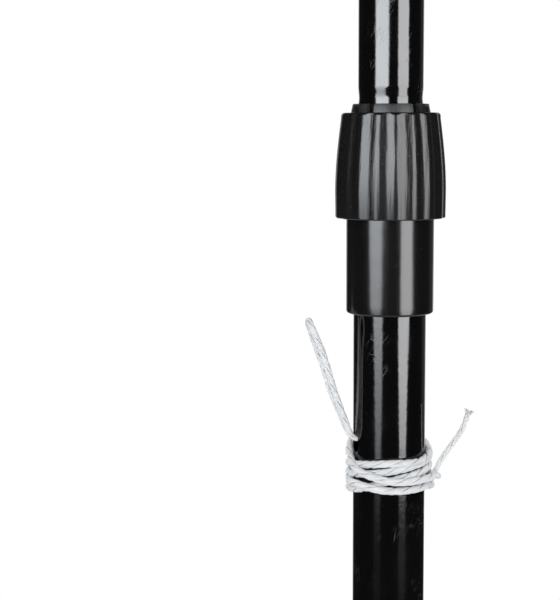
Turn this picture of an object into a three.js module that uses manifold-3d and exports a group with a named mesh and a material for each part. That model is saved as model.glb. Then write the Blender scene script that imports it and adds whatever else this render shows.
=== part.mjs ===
/*
 * Badminton net post: two steel tubes that telescope in a twist clamp, standing in
 * the bolted socket of a round tank that is filled with sand. A white cord is laced
 * through the lower tube and lashed round it.
 *
 * Millimetres, +Z up. The origin is on the floor, on the axis of the tubes.
 */
import * as THREE from "three";
import { mergeVertices } from "three/addons/utils/BufferGeometryUtils.js";
import Module from "manifold-3d";

const wasm = await Module();
wasm.setup();

// Driving dimensions

const postHeight = 1550;
const nutTopHeight = 838;
const lowerTubeDiameter = 28;
const upperTubeDiameter = 24.8;
const tubeWall = 1;
const tubeInsertion = 84;
const baseDiameter = 420;
const tankTopHeight = 82;
const cordDiameter = 2.4;

// Clearances and cuts

const seatGap = 0.3;
const overrun = 6;

// Directions round the post, in degrees counter-clockwise from +X

const faceAzimuth = -87.6;
const cordHoleAzimuth = 197;
const fillerAzimuth = 112.5;

// Tubes

const lowerTubeRadius = lowerTubeDiameter / 2;
const lowerBoreRadius = lowerTubeRadius - tubeWall;
const upperTubeRadius = upperTubeDiameter / 2;
const upperBoreRadius = upperTubeRadius - tubeWall;
const tubeEdge = 0.3;
const crimpDepth = 0.42;
const crimpHalfHeight = 2.6;
const crimpWaistHalfHeight = 0.9;
const crimpRise = 3.3;
const cordHoleDrop = 128.6;
const cordHoleRadius = 3;
const cordHoleHeight = nutTopHeight - cordHoleDrop;

// Twist clamp

const nutHeight = 39.8;
const nutTopRadius = 18.8;
const nutTopCorner = 1.3;
const nutBellyRadius = 21.16;
const nutBellyDrop = 30;
const nutFootRadius = 21.05;
const nutFootChamfer = 0.5;
const fluteCount = 18;
const fluteDepth = 0.55;
const fluteFadeHeight = 2.6;
const fluteAzimuth = faceAzimuth - 0.7;
const flankShares = [0, 0.3, 0.6, 0.85, 0.955, 1];
const sleeveRadius = 16.8;
const sleeveDrop = 76.3;
const sleeveEdge = 0.9;
const neckRadius = 16.5;
const neckRise = 3.5;
const neckTopDrop = 16;
const stopShoulderDrop = 31.7;
const colletRise = 3.3;
const colletTopRadius = 14.4;
const colletNutTopRadius = 15.1;
const colletRootRadius = 16.4;
const colletTopEdge = 0.35;
const colletRingHeight = 4;
const slotWidth = 2.8;
const slotAngles = [33.5, 64.2];
const nutBottomHeight = nutTopHeight - nutHeight;
const sleeveBottomHeight = nutTopHeight - sleeveDrop;
const lowerTubeTopHeight = nutTopHeight - stopShoulderDrop - seatGap;
const tubeRunRadius = upperTubeRadius + seatGap;
const colletTopHeight = nutTopHeight + colletRise;
const neckTopHeight = nutTopHeight - neckTopDrop;
const colletFootHeight = neckTopHeight + seatGap;

// Upper tube and its fittings

const capHeadRadius = 14.4;
const capHeadHeight = 16;
const capHeadCorner = 4;
const capSpigotLength = 20;
const capSpigotRadius = upperBoreRadius - seatGap;
const capSpigotBore = 7.6;
const capNotchWidth = 6;
const capNotchDepth = 9;
const plugFlangeHeight = 4.5;
const plugFlangeRadius = lowerBoreRadius - seatGap;
const plugSpigotLength = 26;
const plugBoreRadius = 8;
const upperTubeTopHeight = postHeight - capHeadHeight - seatGap;
const upperTubeFootHeight = lowerTubeTopHeight - tubeInsertion;

// Base tank, its filler and its feet

const tankRadius = baseDiameter / 2;
const tankWall = 3;
const tankFootCorner = 14;
const tankShoulder = 20;
const tankRimHeight = 58;
const tankBossRadius = 66;
const tankBossCorner = 6;
const tankBossRise = 5;
const recessCount = 8;
const recessDepth = 6;
const recessRim = 18;
const recessHub = 16;
const recessFloorShare = 0.3;
const recessEdgeShare = 0.14;
const footHeight = 6;
const footRadius = 15;
const footEdge = 1.5;
const footCount = 6;
const footSetback = 38;
const sandTopHeight = 44;
const sandFootCorner = 12;
const fillerSetback = 78;
const neckOuterRadius = 20;
const neckBoreRadius = 16.5;
const neckRiseOverTank = 19;
const sealThickness = 2;
const capTopThickness = 3.5;
const capWall = 3;
const capSkirtHeight = 16;
const capEdge = 1.2;
const capRibCount = 20;
const capRibDepth = 0.8;
const recessInnerRadius = tankBossRadius + tankBossCorner + recessHub;
const recessOuterRadius = tankRadius - tankShoulder - recessRim;
const footCircleRadius = tankRadius - footSetback;
const fillerCircleRadius = tankRadius - fillerSetback;
const tankFloorHeight = footHeight + seatGap;
const tankSteps = 6 * recessCount;

// Socket that carries the post

const flangeRadius = 58;
const flangeThickness = 4;
const socketRadius = 19;
const socketWall = 1.5;
const socketLength = 124;
const gussetReach = 26;
const gussetHeight = 34;
const gussetThickness = 3;
const gussetToe = 4;
const bossRadius = 10;
const bossLength = 11;
const bossRise = 62;
const linerCollarHeight = 5;
const linerCollarOverhang = 1.8;
const linerCollarEdge = 1.2;
const footCapThickness = 4;
const footCapSpigotLength = 18;
const footCapBoreRadius = 9;
const screwCircleRadius = 44;
const screwCount = 4;
const screwRadius = 4;
const screwLength = 26;
const screwHeadRadius = 7.5;
const screwHeadHeight = 5.5;
const screwWasherRadius = 9;
const screwWasherThickness = 1.6;
const screwPillarRadius = 9;
const screwPillarDepth = 6;
const socketBoreRadius = socketRadius - socketWall;
const flangeFootHeight = tankTopHeight + seatGap;
const flangeTopHeight = flangeFootHeight + flangeThickness;
const socketTopHeight = flangeTopHeight + socketLength;
const footCapFootHeight = flangeTopHeight + seatGap;
const lowerTubeFootHeight = footCapFootHeight + footCapThickness + seatGap;

// Clamping knob of the socket

const knobScrewRadius = 5;
const knobRadius = 27;
const knobLength = 20;
const knobLobeCount = 6;
const knobLobeDepth = 3.2;
const knobEdge = 3;
const knobHubRadius = 12;
const knobHubLength = 7;
const knobStandOff = 5;
const knobScrewDepth = 12;
const tipLength = 6;
const tipSocketRadius = 2.6;
const tipSocketDepth = 3;
const tipRadius = knobScrewRadius;
const knobHeight = flangeTopHeight + bossRise;
const tipFaceReach = lowerTubeRadius + seatGap;
const screwFootReach = tipFaceReach + tipLength + seatGap;
const bossEndReach = socketRadius + bossLength;
const knobHubReach = bossEndReach + knobStandOff;

// Lashing cord

const cordRadius = cordDiameter / 2;
const cordSides = 6;
const cordStepsPerTurn = 24;
const cordEndWallShare = 0.1;
const cordEndRadius = lowerBoreRadius + cordEndWallShare * tubeWall;
const cordCrossingGap = 0.5;
const windingRadius = lowerTubeRadius + seatGap + cordRadius;
const windingLayer = cordDiameter + cordCrossingGap;
const windingExitBulge = 1;
const windingExitTurn = 4.5;
const windingStartShare = 0.8;
const cordPairSpread = 1.45;
const knotRadial = 2.4;
const knotAround = 2.7;
const knotTall = 2.7;
const knotDrop = 144;
const knotHeight = nutTopHeight - knotDrop;

/** Turns degrees into radians. */
const radians = THREE.MathUtils.degToRad;

/** Eases from 0 to 1 while value goes from start to end. */
const ease = THREE.MathUtils.smoothstep;

/** Points of an arc in the plane of a profile, from one angle to another in degrees. */
function arc(centreRadius, centreHeight, radius, fromAngle, toAngle, steps) {
  const points = [];
  for (let step = 0; step <= steps; step += 1) {
    const angle = radians(fromAngle + ((toAngle - fromAngle) * step) / steps);
    points.push([centreRadius + radius * Math.cos(angle), centreHeight + radius * Math.sin(angle)]);
  }
  return points;
}

/**
 * Closed solid of a profile turned about Z. The profile lists [radius, height] upwards on
 * its outside. It starts and ends on the axis, or closes on itself round an opening.
 * shaped(radius, height, angle) can move each point of it, for flutes and recesses.
 */
function turned(profile, steps, shaped = (radius, height) => [radius, height]) {
  const positions = [];
  const rings = [];
  for (const [radius, height] of profile) {
    const first = positions.length / 3;
    const count = radius === 0 ? 1 : steps;
    for (let step = 0; step < count; step += 1) {
      const angle = (2 * Math.PI * step) / steps;
      const [around, up] = shaped(radius, height, angle);
      positions.push(around * Math.cos(angle), around * Math.sin(angle), up);
    }
    rings.push({ first, count });
  }
  const open = profile[0][0] === 0;
  const indices = [];
  const vertex = (ring, step) => ring.first + (step % ring.count);
  for (let row = 0; row < rings.length - (open ? 1 : 0); row += 1) {
    const low = rings[row];
    const high = rings[(row + 1) % rings.length];
    for (let step = 0; step < steps; step += 1) {
      if (low.count > 1) indices.push(vertex(low, step), vertex(low, step + 1), vertex(high, step + 1));
      if (high.count > 1) indices.push(vertex(low, step), vertex(high, step + 1), vertex(high, step));
    }
  }
  const geometry = new THREE.BufferGeometry();
  geometry.setAttribute("position", new THREE.Float32BufferAttribute(positions, 3));
  geometry.setIndex(indices);
  return geometry;
}

/** Upright cylinder from one height to another. */
function cylinder(radius, low, high, steps) {
  return turned([[0, low], [radius, low], [radius, high], [0, high]], steps);
}

/** Ring between two radii, from one height to another, with its outer corners cut. */
function ring(inner, outer, low, high, edge, steps) {
  return turned(
    [
      [inner, low],
      [outer - edge, low],
      [outer, low + edge],
      [outer, high - edge],
      [outer - edge, high],
      [inner, high],
    ],
    steps,
  );
}

/** Manifold solid of a closed geometry. */
function solidOf(geometry) {
  const bare = geometry.clone();
  bare.deleteAttribute("normal");
  bare.deleteAttribute("uv");
  const merged = mergeVertices(bare);
  return new wasm.Manifold(
    new wasm.Mesh({
      numProp: 3,
      vertProperties: new Float32Array(merged.attributes.position.array),
      triVerts: new Uint32Array(merged.index.array),
    }),
  );
}

/** Geometry of a manifold solid. */
function geometryOf(solid) {
  const mesh = solid.getMesh();
  const geometry = new THREE.BufferGeometry();
  geometry.setAttribute("position", new THREE.BufferAttribute(mesh.vertProperties, 3));
  geometry.setIndex(new THREE.BufferAttribute(mesh.triVerts, 1));
  return geometry;
}

/** A body with other bodies joined to it and others cut out of it. */
function built(body, { joined = [], cut = [] }) {
  let solid = solidOf(body);
  for (const piece of joined) solid = solid.add(solidOf(piece));
  for (const piece of cut) solid = solid.subtract(solidOf(piece));
  return geometryOf(solid);
}

/** The same geometry turned about Z, in degrees, after a move outwards and upwards. */
function placedAround(geometry, reach, height, azimuth) {
  return geometry.clone().translate(reach, 0, height).rotateZ(radians(azimuth));
}

/** A geometry made along +Z, laid so that it points along +X. */
function laidAlongX(geometry) {
  return geometry.clone().rotateY(Math.PI / 2);
}

const paintedSteel = { color: 0x101113, roughness: 0.16, metalness: 0.1 };
const glossPlastic = { color: 0x151517, roughness: 0.24, metalness: 0 };
const mattPlastic = { color: 0x2b2b2d, roughness: 0.6, metalness: 0 };
const tankPlastic = { color: 0x1c1d1f, roughness: 0.55, metalness: 0 };
const softRubber = { color: 0x17171a, roughness: 0.85, metalness: 0 };
const zincSteel = { color: 0xb4b6b8, roughness: 0.35, metalness: 1 };
const nylon = { color: 0xd9d6cc, roughness: 0.5, metalness: 0 };
const sand = { color: 0xb99f73, roughness: 0.95, metalness: 0 };
const whiteCord = { color: 0xeceef0, roughness: 0.55, metalness: 0 };

/** Named mesh with its own material. */
function piece(name, geometry, finish) {
  geometry.computeVertexNormals();
  const mesh = new THREE.Mesh(geometry, new THREE.MeshStandardMaterial(finish));
  mesh.name = name;
  return mesh;
}

/** Height of the tank's sloping top at a distance from the axis. */
function tankSlopeHeight(radius) {
  const slopeStart = tankRadius - tankShoulder;
  const slopeEnd = tankBossRadius + tankBossCorner;
  const slopeTop = tankTopHeight - tankBossRise;
  return tankRimHeight + ((slopeStart - radius) / (slopeStart - slopeEnd)) * (slopeTop - tankRimHeight);
}

/** Profile of the tank, taken in by an inset from its outer skin. */
function tankProfile(inset) {
  const side = tankRadius - inset;
  const floor = tankFloorHeight + inset;
  const footCorner = tankFootCorner - inset;
  const shoulder = tankShoulder - inset;
  const shoulderCentre = tankRimHeight - tankShoulder;
  const slopeRadii = [recessOuterRadius, recessOuterRadius - tankShoulder / 2];
  slopeRadii.push(recessInnerRadius + tankShoulder / 2, recessInnerRadius);
  return [
    [0, floor],
    ...arc(side - footCorner, floor + footCorner, footCorner, -90, 0, 2),
    ...arc(side - shoulder, shoulderCentre, shoulder, 0, 90, 3),
    ...slopeRadii.map((radius) => [radius, tankSlopeHeight(radius) - inset]),
    [tankBossRadius + tankBossCorner, tankTopHeight - tankBossRise - inset],
    [tankBossRadius - inset, tankTopHeight - inset],
    [0, tankTopHeight - inset],
  ];
}

/** Sinks the pattern of radial recesses into the tank's top. */
function sinkRecesses(radius, height, angle) {
  const onTop = height > tankRimHeight - tankWall - seatGap;
  const between = radius < recessOuterRadius && radius > recessInnerRadius;
  if (!onTop || !between) return [radius, height];
  const turn = (angle / (2 * Math.PI)) * recessCount;
  const share = Math.abs(turn - Math.round(turn));
  const edge = recessEdgeShare / 2;
  const depth = 1 - ease(share, recessFloorShare - edge, recessFloorShare + edge);
  return [radius, height - recessDepth * depth];
}

/** Blow-moulded tank with a hollow inside, a filler neck and pillars for the socket's screws. */
function makeTank() {
  const skin = turned(tankProfile(0), tankSteps, sinkRecesses);
  const neckTop = tankSlopeHeight(fillerCircleRadius) + neckRiseOverTank;
  const neckRoot = tankSlopeHeight(fillerCircleRadius + neckOuterRadius) - recessDepth / 2;
  const neck = placedAround(cylinder(neckOuterRadius, neckRoot, neckTop, 28), fillerCircleRadius, 0, fillerAzimuth);
  const neckBore = placedAround(
    cylinder(neckBoreRadius, sandTopHeight, neckTop + overrun, 28),
    fillerCircleRadius,
    0,
    fillerAzimuth,
  );
  const pillarFoot = tankTopHeight - screwLength - screwPillarDepth;
  const pillar = cylinder(screwPillarRadius, pillarFoot, tankTopHeight + overrun, 16);
  const pilot = cylinder(screwRadius + seatGap, pillarFoot + screwPillarDepth / 2, tankTopHeight + overrun, 12);
  let room = solidOf(turned(tankProfile(tankWall), tankSteps, sinkRecesses));
  for (const azimuth of screwAzimuths()) {
    room = room.subtract(solidOf(placedAround(pillar, screwCircleRadius, 0, azimuth)));
  }
  const pilots = screwAzimuths().map((azimuth) => placedAround(pilot, screwCircleRadius, 0, azimuth));
  return built(skin, { joined: [neck], cut: [geometryOf(room), neckBore, ...pilots] });
}

/** Directions of the screws of the socket's flange. */
function screwAzimuths() {
  return Array.from({ length: screwCount }, (_, index) => ((index + 0.5) * 360) / screwCount);
}

/** Sand filling, level below the tank's top and clear of its walls. */
function makeSand() {
  const inset = tankWall + 3 * seatGap;
  const side = tankRadius - inset;
  const floor = tankFloorHeight + tankWall + seatGap;
  return turned(
    [
      [0, floor],
      ...arc(side - sandFootCorner, floor + sandFootCorner, sandFootCorner, -90, 0, 2),
      [side, tankRimHeight - tankShoulder],
      [side - footEdge, sandTopHeight],
      [0, sandTopHeight],
    ],
    tankSteps,
  );
}

/** Rubber foot with rounded edges. */
function makeFoot() {
  return turned(
    [
      [0, 0],
      [footRadius - footEdge, 0],
      [footRadius, footEdge],
      [footRadius, footHeight],
      [0, footHeight],
    ],
    16,
  );
}

/** Screw cap of the filler, ribbed for the hand. */
function makeFillerCap() {
  const inside = neckOuterRadius + seatGap;
  const outside = inside + capWall;
  const under = sealThickness + 2 * seatGap;
  const top = under + capTopThickness;
  const stepsPerRib = 3;
  const ribbed = (radius, height, angle) => {
    if (radius < outside) return [radius, height];
    return [radius - (capRibDepth / 2) * (1 - Math.cos(capRibCount * angle)), height];
  };
  const shell = turned(
    [
      [0, under],
      [inside, under],
      [inside, under - capSkirtHeight],
      [outside, under - capSkirtHeight],
      [outside, top - capEdge],
      [outside - capEdge, top],
      [0, top],
    ],
    capRibCount * stepsPerRib,
    ribbed,
  );
  const grip = new THREE.BoxGeometry(2 * outside - capWall * 2, capWall * 2, capWall * 2);
  grip.translate(0, 0, top + capWall - seatGap);
  return built(shell, { joined: [grip] });
}

/** Steel socket: a flange, a tube with gussets and the threaded boss of the knob. */
function makeSocket() {
  const base = turned(
    [
      [0, 0],
      [flangeRadius, 0],
      [flangeRadius, flangeThickness],
      [socketRadius, flangeThickness],
      [socketRadius, flangeThickness + socketLength - tubeEdge],
      [socketRadius - tubeEdge, flangeThickness + socketLength],
      [socketBoreRadius, flangeThickness + socketLength],
      [socketBoreRadius, flangeThickness],
      [0, flangeThickness],
    ],
    32,
  );
  const outline = new THREE.Shape();
  const root = socketRadius - socketWall / 2;
  outline.moveTo(root, flangeThickness / 2);
  outline.lineTo(socketRadius + gussetReach, flangeThickness / 2);
  outline.lineTo(socketRadius + gussetReach, flangeThickness + gussetToe);
  outline.lineTo(socketRadius + gussetToe, flangeThickness + gussetHeight);
  outline.lineTo(root, flangeThickness + gussetHeight);
  const plate = new THREE.ExtrudeGeometry(outline, { depth: gussetThickness, bevelEnabled: false });
  plate.translate(0, 0, -gussetThickness / 2).rotateX(Math.PI / 2);
  const gussets = screwAzimuths().map((azimuth) => plate.clone().rotateZ(radians(azimuth + 180 / screwCount)));
  const reach = socketRadius - socketWall / 2;
  const boss = laidAlongX(cylinder(bossRadius, reach, bossEndReach, 24));
  const thread = laidAlongX(cylinder(knobScrewRadius + seatGap, lowerTubeRadius, bossEndReach + overrun, 20));
  const lift = flangeThickness + bossRise;
  const hole = cylinder(screwRadius + seatGap, -overrun, flangeThickness + overrun, 12);
  const holes = screwAzimuths().map((azimuth) =>
    placedAround(hole, screwCircleRadius, 0, azimuth),
  );
  return built(base, {
    joined: [...gussets, boss.translate(0, 0, lift)],
    cut: [thread.translate(0, 0, lift), ...holes],
  });
}

/** Plastic liner of the socket, with a collar on its mouth and a hole for the knob's tip. */
function makeSocketLiner() {
  const inner = lowerTubeRadius + seatGap;
  const outer = socketBoreRadius - seatGap;
  const collar = socketRadius + linerCollarOverhang;
  const mouth = seatGap + linerCollarHeight;
  const liner = turned(
    [
      [inner, seatGap - socketLength],
      [outer, seatGap - socketLength],
      [outer, seatGap],
      [collar, seatGap],
      [collar, mouth - linerCollarEdge],
      [collar - linerCollarEdge, mouth],
      [inner + linerCollarEdge / 2, mouth],
      [inner, mouth - linerCollarEdge / 2],
    ],
    32,
  );
  const hole = laidAlongX(cylinder(knobScrewRadius + seatGap, lowerTubeRadius / 2, socketRadius, 16));
  hole.translate(0, 0, bossRise - socketLength);
  return built(liner, { cut: [hole] });
}

/** Hexagon screw with its washer face, its head upwards and its seat at zero. */
function makeFlangeScrew() {
  const shank = cylinder(screwRadius, -screwLength, screwWasherThickness / 2, 10);
  const washer = cylinder(screwWasherRadius, 0, screwWasherThickness, 16);
  const head = cylinder(screwHeadRadius, screwWasherThickness / 2, screwWasherThickness + screwHeadHeight, 6);
  return built(washer, { joined: [shank, head] });
}

/** Lobed hand knob with its hub, pointing along +Z. */
function makeKnob() {
  const lobed = (radius, height, angle) => {
    if (radius <= knobHubRadius) return [radius, height];
    return [radius - (knobLobeDepth / 2) * (1 + Math.cos(knobLobeCount * angle)), height];
  };
  const bore = knobScrewRadius + seatGap;
  const top = knobHubLength + knobLength;
  const screwSeat = knobHubLength + knobScrewDepth;
  return turned(
    [
      [0, screwSeat + seatGap],
      [bore, screwSeat + seatGap],
      [bore, 0],
      [knobHubRadius, 0],
      [knobHubRadius, knobHubLength],
      [knobRadius - knobEdge, knobHubLength],
      [knobRadius, knobHubLength + knobEdge],
      [knobRadius, top - knobEdge],
      [knobRadius - 0.3 * knobEdge, top - 0.3 * knobEdge],
      [knobRadius - knobEdge, top],
      [0, top],
    ],
    knobLobeCount * 6,
    lobed,
  );
}

/** Nylon tip with the blind socket that snaps on the screw's nose, along +Z. */
function makeTip() {
  return turned(
    [
      [0, 0],
      [tipRadius, 0],
      [tipRadius, tipLength],
      [tipSocketRadius + seatGap, tipLength],
      [tipSocketRadius + seatGap, tipLength - tipSocketDepth],
      [0, tipLength - tipSocketDepth],
    ],
    16,
  );
}

/** Steel screw of the knob with the nose that holds the tip, along +Z from its shoulder. */
function makeKnobScrew() {
  const length = knobHubReach + knobHubLength + knobScrewDepth - screwFootReach;
  const nose = tipSocketDepth;
  return turned(
    [
      [0, -nose],
      [tipSocketRadius, -nose],
      [tipSocketRadius, 0],
      [knobScrewRadius, 0],
      [knobScrewRadius, length],
      [0, length],
    ],
    16,
  );
}

/** Plastic cap under the lower tube: a disc as wide as the tube and a hollow spigot. */
function makeFootCap() {
  const disc = lowerTubeRadius;
  const spigot = lowerBoreRadius - seatGap;
  const top = footCapThickness + footCapSpigotLength;
  return turned(
    [
      [0, 0],
      [disc - tubeEdge, 0],
      [disc, tubeEdge],
      [disc, footCapThickness],
      [spigot, footCapThickness],
      [spigot, top],
      [footCapBoreRadius, top],
      [footCapBoreRadius, footCapThickness],
      [0, footCapThickness],
    ],
    28,
  );
}

/** Lower tube with the pair of holes that the cord is laced through. */
function makeLowerTube() {
  const tube = ring(lowerBoreRadius, lowerTubeRadius, lowerTubeFootHeight, lowerTubeTopHeight, tubeEdge, 32);
  const drill = laidAlongX(cylinder(cordHoleRadius, -lowerTubeRadius - overrun, lowerTubeRadius + overrun, 20));
  drill.translate(0, 0, cordHoleHeight).rotateZ(radians(cordHoleAzimuth));
  return built(tube, { cut: [drill] });
}

/** Upper tube with the crimped groove that marks its working height. */
function makeUpperTube() {
  const crimp = nutTopHeight + colletRise + crimpRise;
  const wallAt = (radius) => [
    [radius, crimp - crimpHalfHeight],
    [radius - crimpDepth, crimp - crimpWaistHalfHeight],
    [radius - crimpDepth, crimp + crimpWaistHalfHeight],
    [radius, crimp + crimpHalfHeight],
  ];
  return turned(
    [
      [upperBoreRadius, upperTubeFootHeight],
      [upperTubeRadius - tubeEdge, upperTubeFootHeight],
      [upperTubeRadius, upperTubeFootHeight + tubeEdge],
      ...wallAt(upperTubeRadius),
      [upperTubeRadius, upperTubeTopHeight - tubeEdge],
      [upperTubeRadius - tubeEdge, upperTubeTopHeight],
      [upperBoreRadius, upperTubeTopHeight],
      ...wallAt(upperBoreRadius).reverse(),
    ],
    32,
  );
}

/** Guide plug under the upper tube: a flange that runs in the lower tube and a spigot. */
function makeGuidePlug() {
  const spigot = upperBoreRadius - seatGap;
  return turned(
    [
      [plugBoreRadius, -plugFlangeHeight],
      [plugFlangeRadius - tubeEdge, -plugFlangeHeight],
      [plugFlangeRadius, tubeEdge - plugFlangeHeight],
      [plugFlangeRadius, 0],
      [spigot, 0],
      [spigot, plugSpigotLength],
      [plugBoreRadius, plugSpigotLength],
    ],
    28,
  );
}

/** End cap of the post: a domed head with a notch for the cord and a hollow spigot. */
function makeTopCap() {
  const head = turned(
    [
      [0, 0],
      [capSpigotBore, 0],
      [capSpigotBore, -capSpigotLength],
      [capSpigotRadius, -capSpigotLength],
      [capSpigotRadius, 0],
      [capHeadRadius, 0],
      ...arc(capHeadRadius - capHeadCorner, capHeadHeight - capHeadCorner, capHeadCorner, 0, 90, 4),
      [0, capHeadHeight],
    ],
    28,
  );
  const slot = new THREE.BoxGeometry(2 * (capHeadRadius + overrun), capNotchWidth, capNotchDepth + overrun);
  slot.translate(0, 0, capHeadHeight + (overrun - capNotchDepth) / 2);
  return built(head, { cut: [slot] });
}

/** Clamp body: the smooth sleeve over the lower tube and the threaded neck inside the nut. */
function makeClampBody() {
  const sleeveTop = nutBottomHeight + neckRise;
  const shoulder = lowerTubeTopHeight + seatGap;
  const bore = lowerTubeRadius + seatGap;
  return turned(
    [
      [bore, sleeveBottomHeight],
      ...arc(sleeveRadius - sleeveEdge, sleeveBottomHeight + sleeveEdge, sleeveEdge, -90, 0, 3),
      [sleeveRadius, sleeveTop],
      [neckRadius, sleeveTop],
      [neckRadius, neckTopHeight],
      [tubeRunRadius, neckTopHeight],
      [tubeRunRadius, shoulder],
      [bore, shoulder],
    ],
    36,
  );
}

/** Outside of the collet's cone, from its foot to its top, with an outward clearance. */
function colletCone(clearance) {
  const slope = (colletNutTopRadius - colletTopRadius) / colletRise;
  const coneDrop = (colletRootRadius - colletNutTopRadius) / slope;
  return [
    [colletRootRadius + clearance, nutTopHeight - coneDrop],
    [colletNutTopRadius + clearance, nutTopHeight],
  ];
}

/** Slotted collet: a ring with fingers whose cone the nut draws on to the upper tube. */
function makeCollet() {
  const cone = turned(
    [
      [tubeRunRadius, colletFootHeight],
      [colletRootRadius, colletFootHeight],
      ...colletCone(0),
      [colletTopRadius, colletTopHeight - colletTopEdge],
      [colletTopRadius - colletTopEdge, colletTopHeight],
      [tubeRunRadius, colletTopHeight],
    ],
    36,
  );
  const slotFoot = colletFootHeight + colletRingHeight;
  const slot = new THREE.BoxGeometry(lowerTubeRadius, slotWidth, colletTopHeight + overrun - slotFoot);
  const lift = (colletTopHeight + overrun + slotFoot) / 2;
  const slots = [];
  for (const middle of [faceAzimuth, faceAzimuth + 180]) {
    for (const angle of slotAngles) {
      for (const side of [-1, 1]) {
        slots.push(placedAround(slot, upperTubeRadius + slotWidth, lift, middle + side * angle));
      }
    }
  }
  return built(cone, { cut: slots });
}

/** Fluted clamp nut: barrel outside, cone and threaded bore inside. */
function makeNut() {
  const belly = nutTopHeight - nutBellyDrop;
  const flank = flankShares.map((share) => {
    const bulge = Math.cos((share * Math.PI) / 2);
    const radius = nutTopRadius + (nutBellyRadius - nutTopRadius) * bulge;
    return [radius, belly + share * (nutBellyDrop - nutTopCorner)];
  });
  const outside = [
    [0, nutBottomHeight],
    [nutFootRadius - nutFootChamfer, nutBottomHeight],
    [nutFootRadius, nutBottomHeight + nutFootChamfer],
    ...flank,
    ...arc(nutTopRadius - nutTopCorner, nutTopHeight - nutTopCorner, nutTopCorner, 0, 90, 2).slice(1),
    [0, nutTopHeight],
  ];
  const fluted = (radius, height, angle) => {
    if (radius < nutTopRadius - 2 * nutTopCorner) return [radius, height];
    const fade = ease(nutTopHeight - height, nutTopCorner / 2, fluteFadeHeight);
    const wave = 1 - Math.cos(fluteCount * (angle - radians(fluteAzimuth)));
    return [radius - (fluteDepth / 2) * wave * fade, height];
  };
  const body = turned(outside, fluteCount * 5, fluted);
  const threadBore = sleeveRadius + seatGap;
  const [coneRoot, coneTop] = colletCone(seatGap);
  const slope = (coneTop[0] - coneRoot[0]) / (coneTop[1] - coneRoot[1]);
  const inside = turned(
    [
      [0, nutBottomHeight - overrun],
      [threadBore, nutBottomHeight - overrun],
      [threadBore, coneRoot[1] - (threadBore - coneRoot[0])],
      coneRoot,
      coneTop,
      [coneTop[0] + slope * overrun, nutTopHeight + overrun],
      [0, nutTopHeight + overrun],
    ],
    36,
  );
  return built(body, { cut: [inside] });
}

/**
 * Route of the free doubled cord, from the lower tube's wall up to its loop and back.
 * The points are chosen by hand along the photographed cord.
 */
const loopRoute = [
  [-12.1, -5.22, 709.9],
  [-14.8, -6.05, 710.2],
  [-16.7, -6.4, 713.9],
  [-18.3, -6.4, 720],
  [-22, -6.3, 730.2],
  [-25.6, -6.1, 740],
  [-28.6, -6.8, 747.5],
  [-30.6, -8.3, 752.6],
  [-32.3, -7.4, 757.2],
  [-32.9, -4, 758.9],
  [-32.6, -0.6, 757.2],
  [-31.3, 0.5, 752.6],
  [-29.4, -1.4, 747.5],
  [-26.6, -3, 740],
  [-22.9, -3.4, 730.2],
  [-19.4, -3.6, 720],
  [-17.6, -3.5, 713.9],
  [-15.6, -3.2, 710.2],
  [-12.95, -2.44, 709.9],
];

/** Route of the cord's free tail, from the knot to its frayed end. */
const tailRoute = [
  [18.65, 0.1, 696.3],
  [19.7, 0.5, 697.6],
  [21.4, 1.4, 700.4],
  [24.4, 2.8, 705.9],
  [27.5, 4, 711],
  [30.2, 4.9, 716.2],
  [31.8, 5.4, 720.2],
  [32.6, 5.6, 722.8],
];

/** Heights of the two strands of the lashing at each quarter turn, from the hole to the knot. */
const firstStrand = {
  turn: -1,
  exitHeight: cordHoleHeight - cordPairSpread,
  heights: [708.1, 705.5, 703.7, 703.6, 704.9, 702.5, 700.3, 700.2, 701.6, 697.6, 693.6, 693, 692.4],
  end: 1068,
  lifts: [],
};
const secondStrand = {
  turn: 1,
  exitHeight: cordHoleHeight + cordPairSpread,
  heights: [711.2, 709.2, 707.3, 699.7, 698.4, 697, 696.9, 694.6, 695.2],
  end: 708,
  lifts: [
    { from: 176, full: 208, until: 332, gone: 360 },
    { from: 536, full: 566, until: 606, gone: 640 },
  ],
};

/** Centre line of one strand: out of the hole, then turn by turn round the tube. */
function windingPoints(strand) {
  const exitAzimuth = cordHoleAzimuth - 180;
  const quarter = 90;
  const heights = new THREE.SplineCurve(
    strand.heights.map((height, index) => new THREE.Vector2(index * quarter, height)),
  );
  const place = (radius, azimuth, height) =>
    new THREE.Vector3(radius * Math.cos(radians(azimuth)), radius * Math.sin(radians(azimuth)), height);
  const bulge = windingRadius + windingExitBulge;
  const points = [
    place(cordEndRadius, exitAzimuth, strand.exitHeight),
    place(cordEndRadius + cordDiameter, exitAzimuth, strand.exitHeight),
    place(bulge, exitAzimuth + windingExitTurn * strand.turn, strand.exitHeight),
  ];
  const step = 360 / cordStepsPerTurn;
  const first = strand.turn * exitAzimuth + windingStartShare * step;
  for (let turned = first; turned < strand.end + step / 2; turned += step) {
    const along = Math.min(turned, strand.end);
    const share = along / ((strand.heights.length - 1) * quarter);
    const height = heights.getPoint(THREE.MathUtils.clamp(share, 0, 1)).y;
    let lift = 0;
    for (const { from, full, until, gone } of strand.lifts) {
      lift += ease(along, from, full) * (1 - ease(along, until, gone));
    }
    const settle = 1 - ease(along, first, first + 2 * step);
    const radius = windingRadius + windingLayer * lift + windingExitBulge * settle;
    points.push(place(radius, strand.turn * along, height));
  }
  return points;
}

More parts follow.
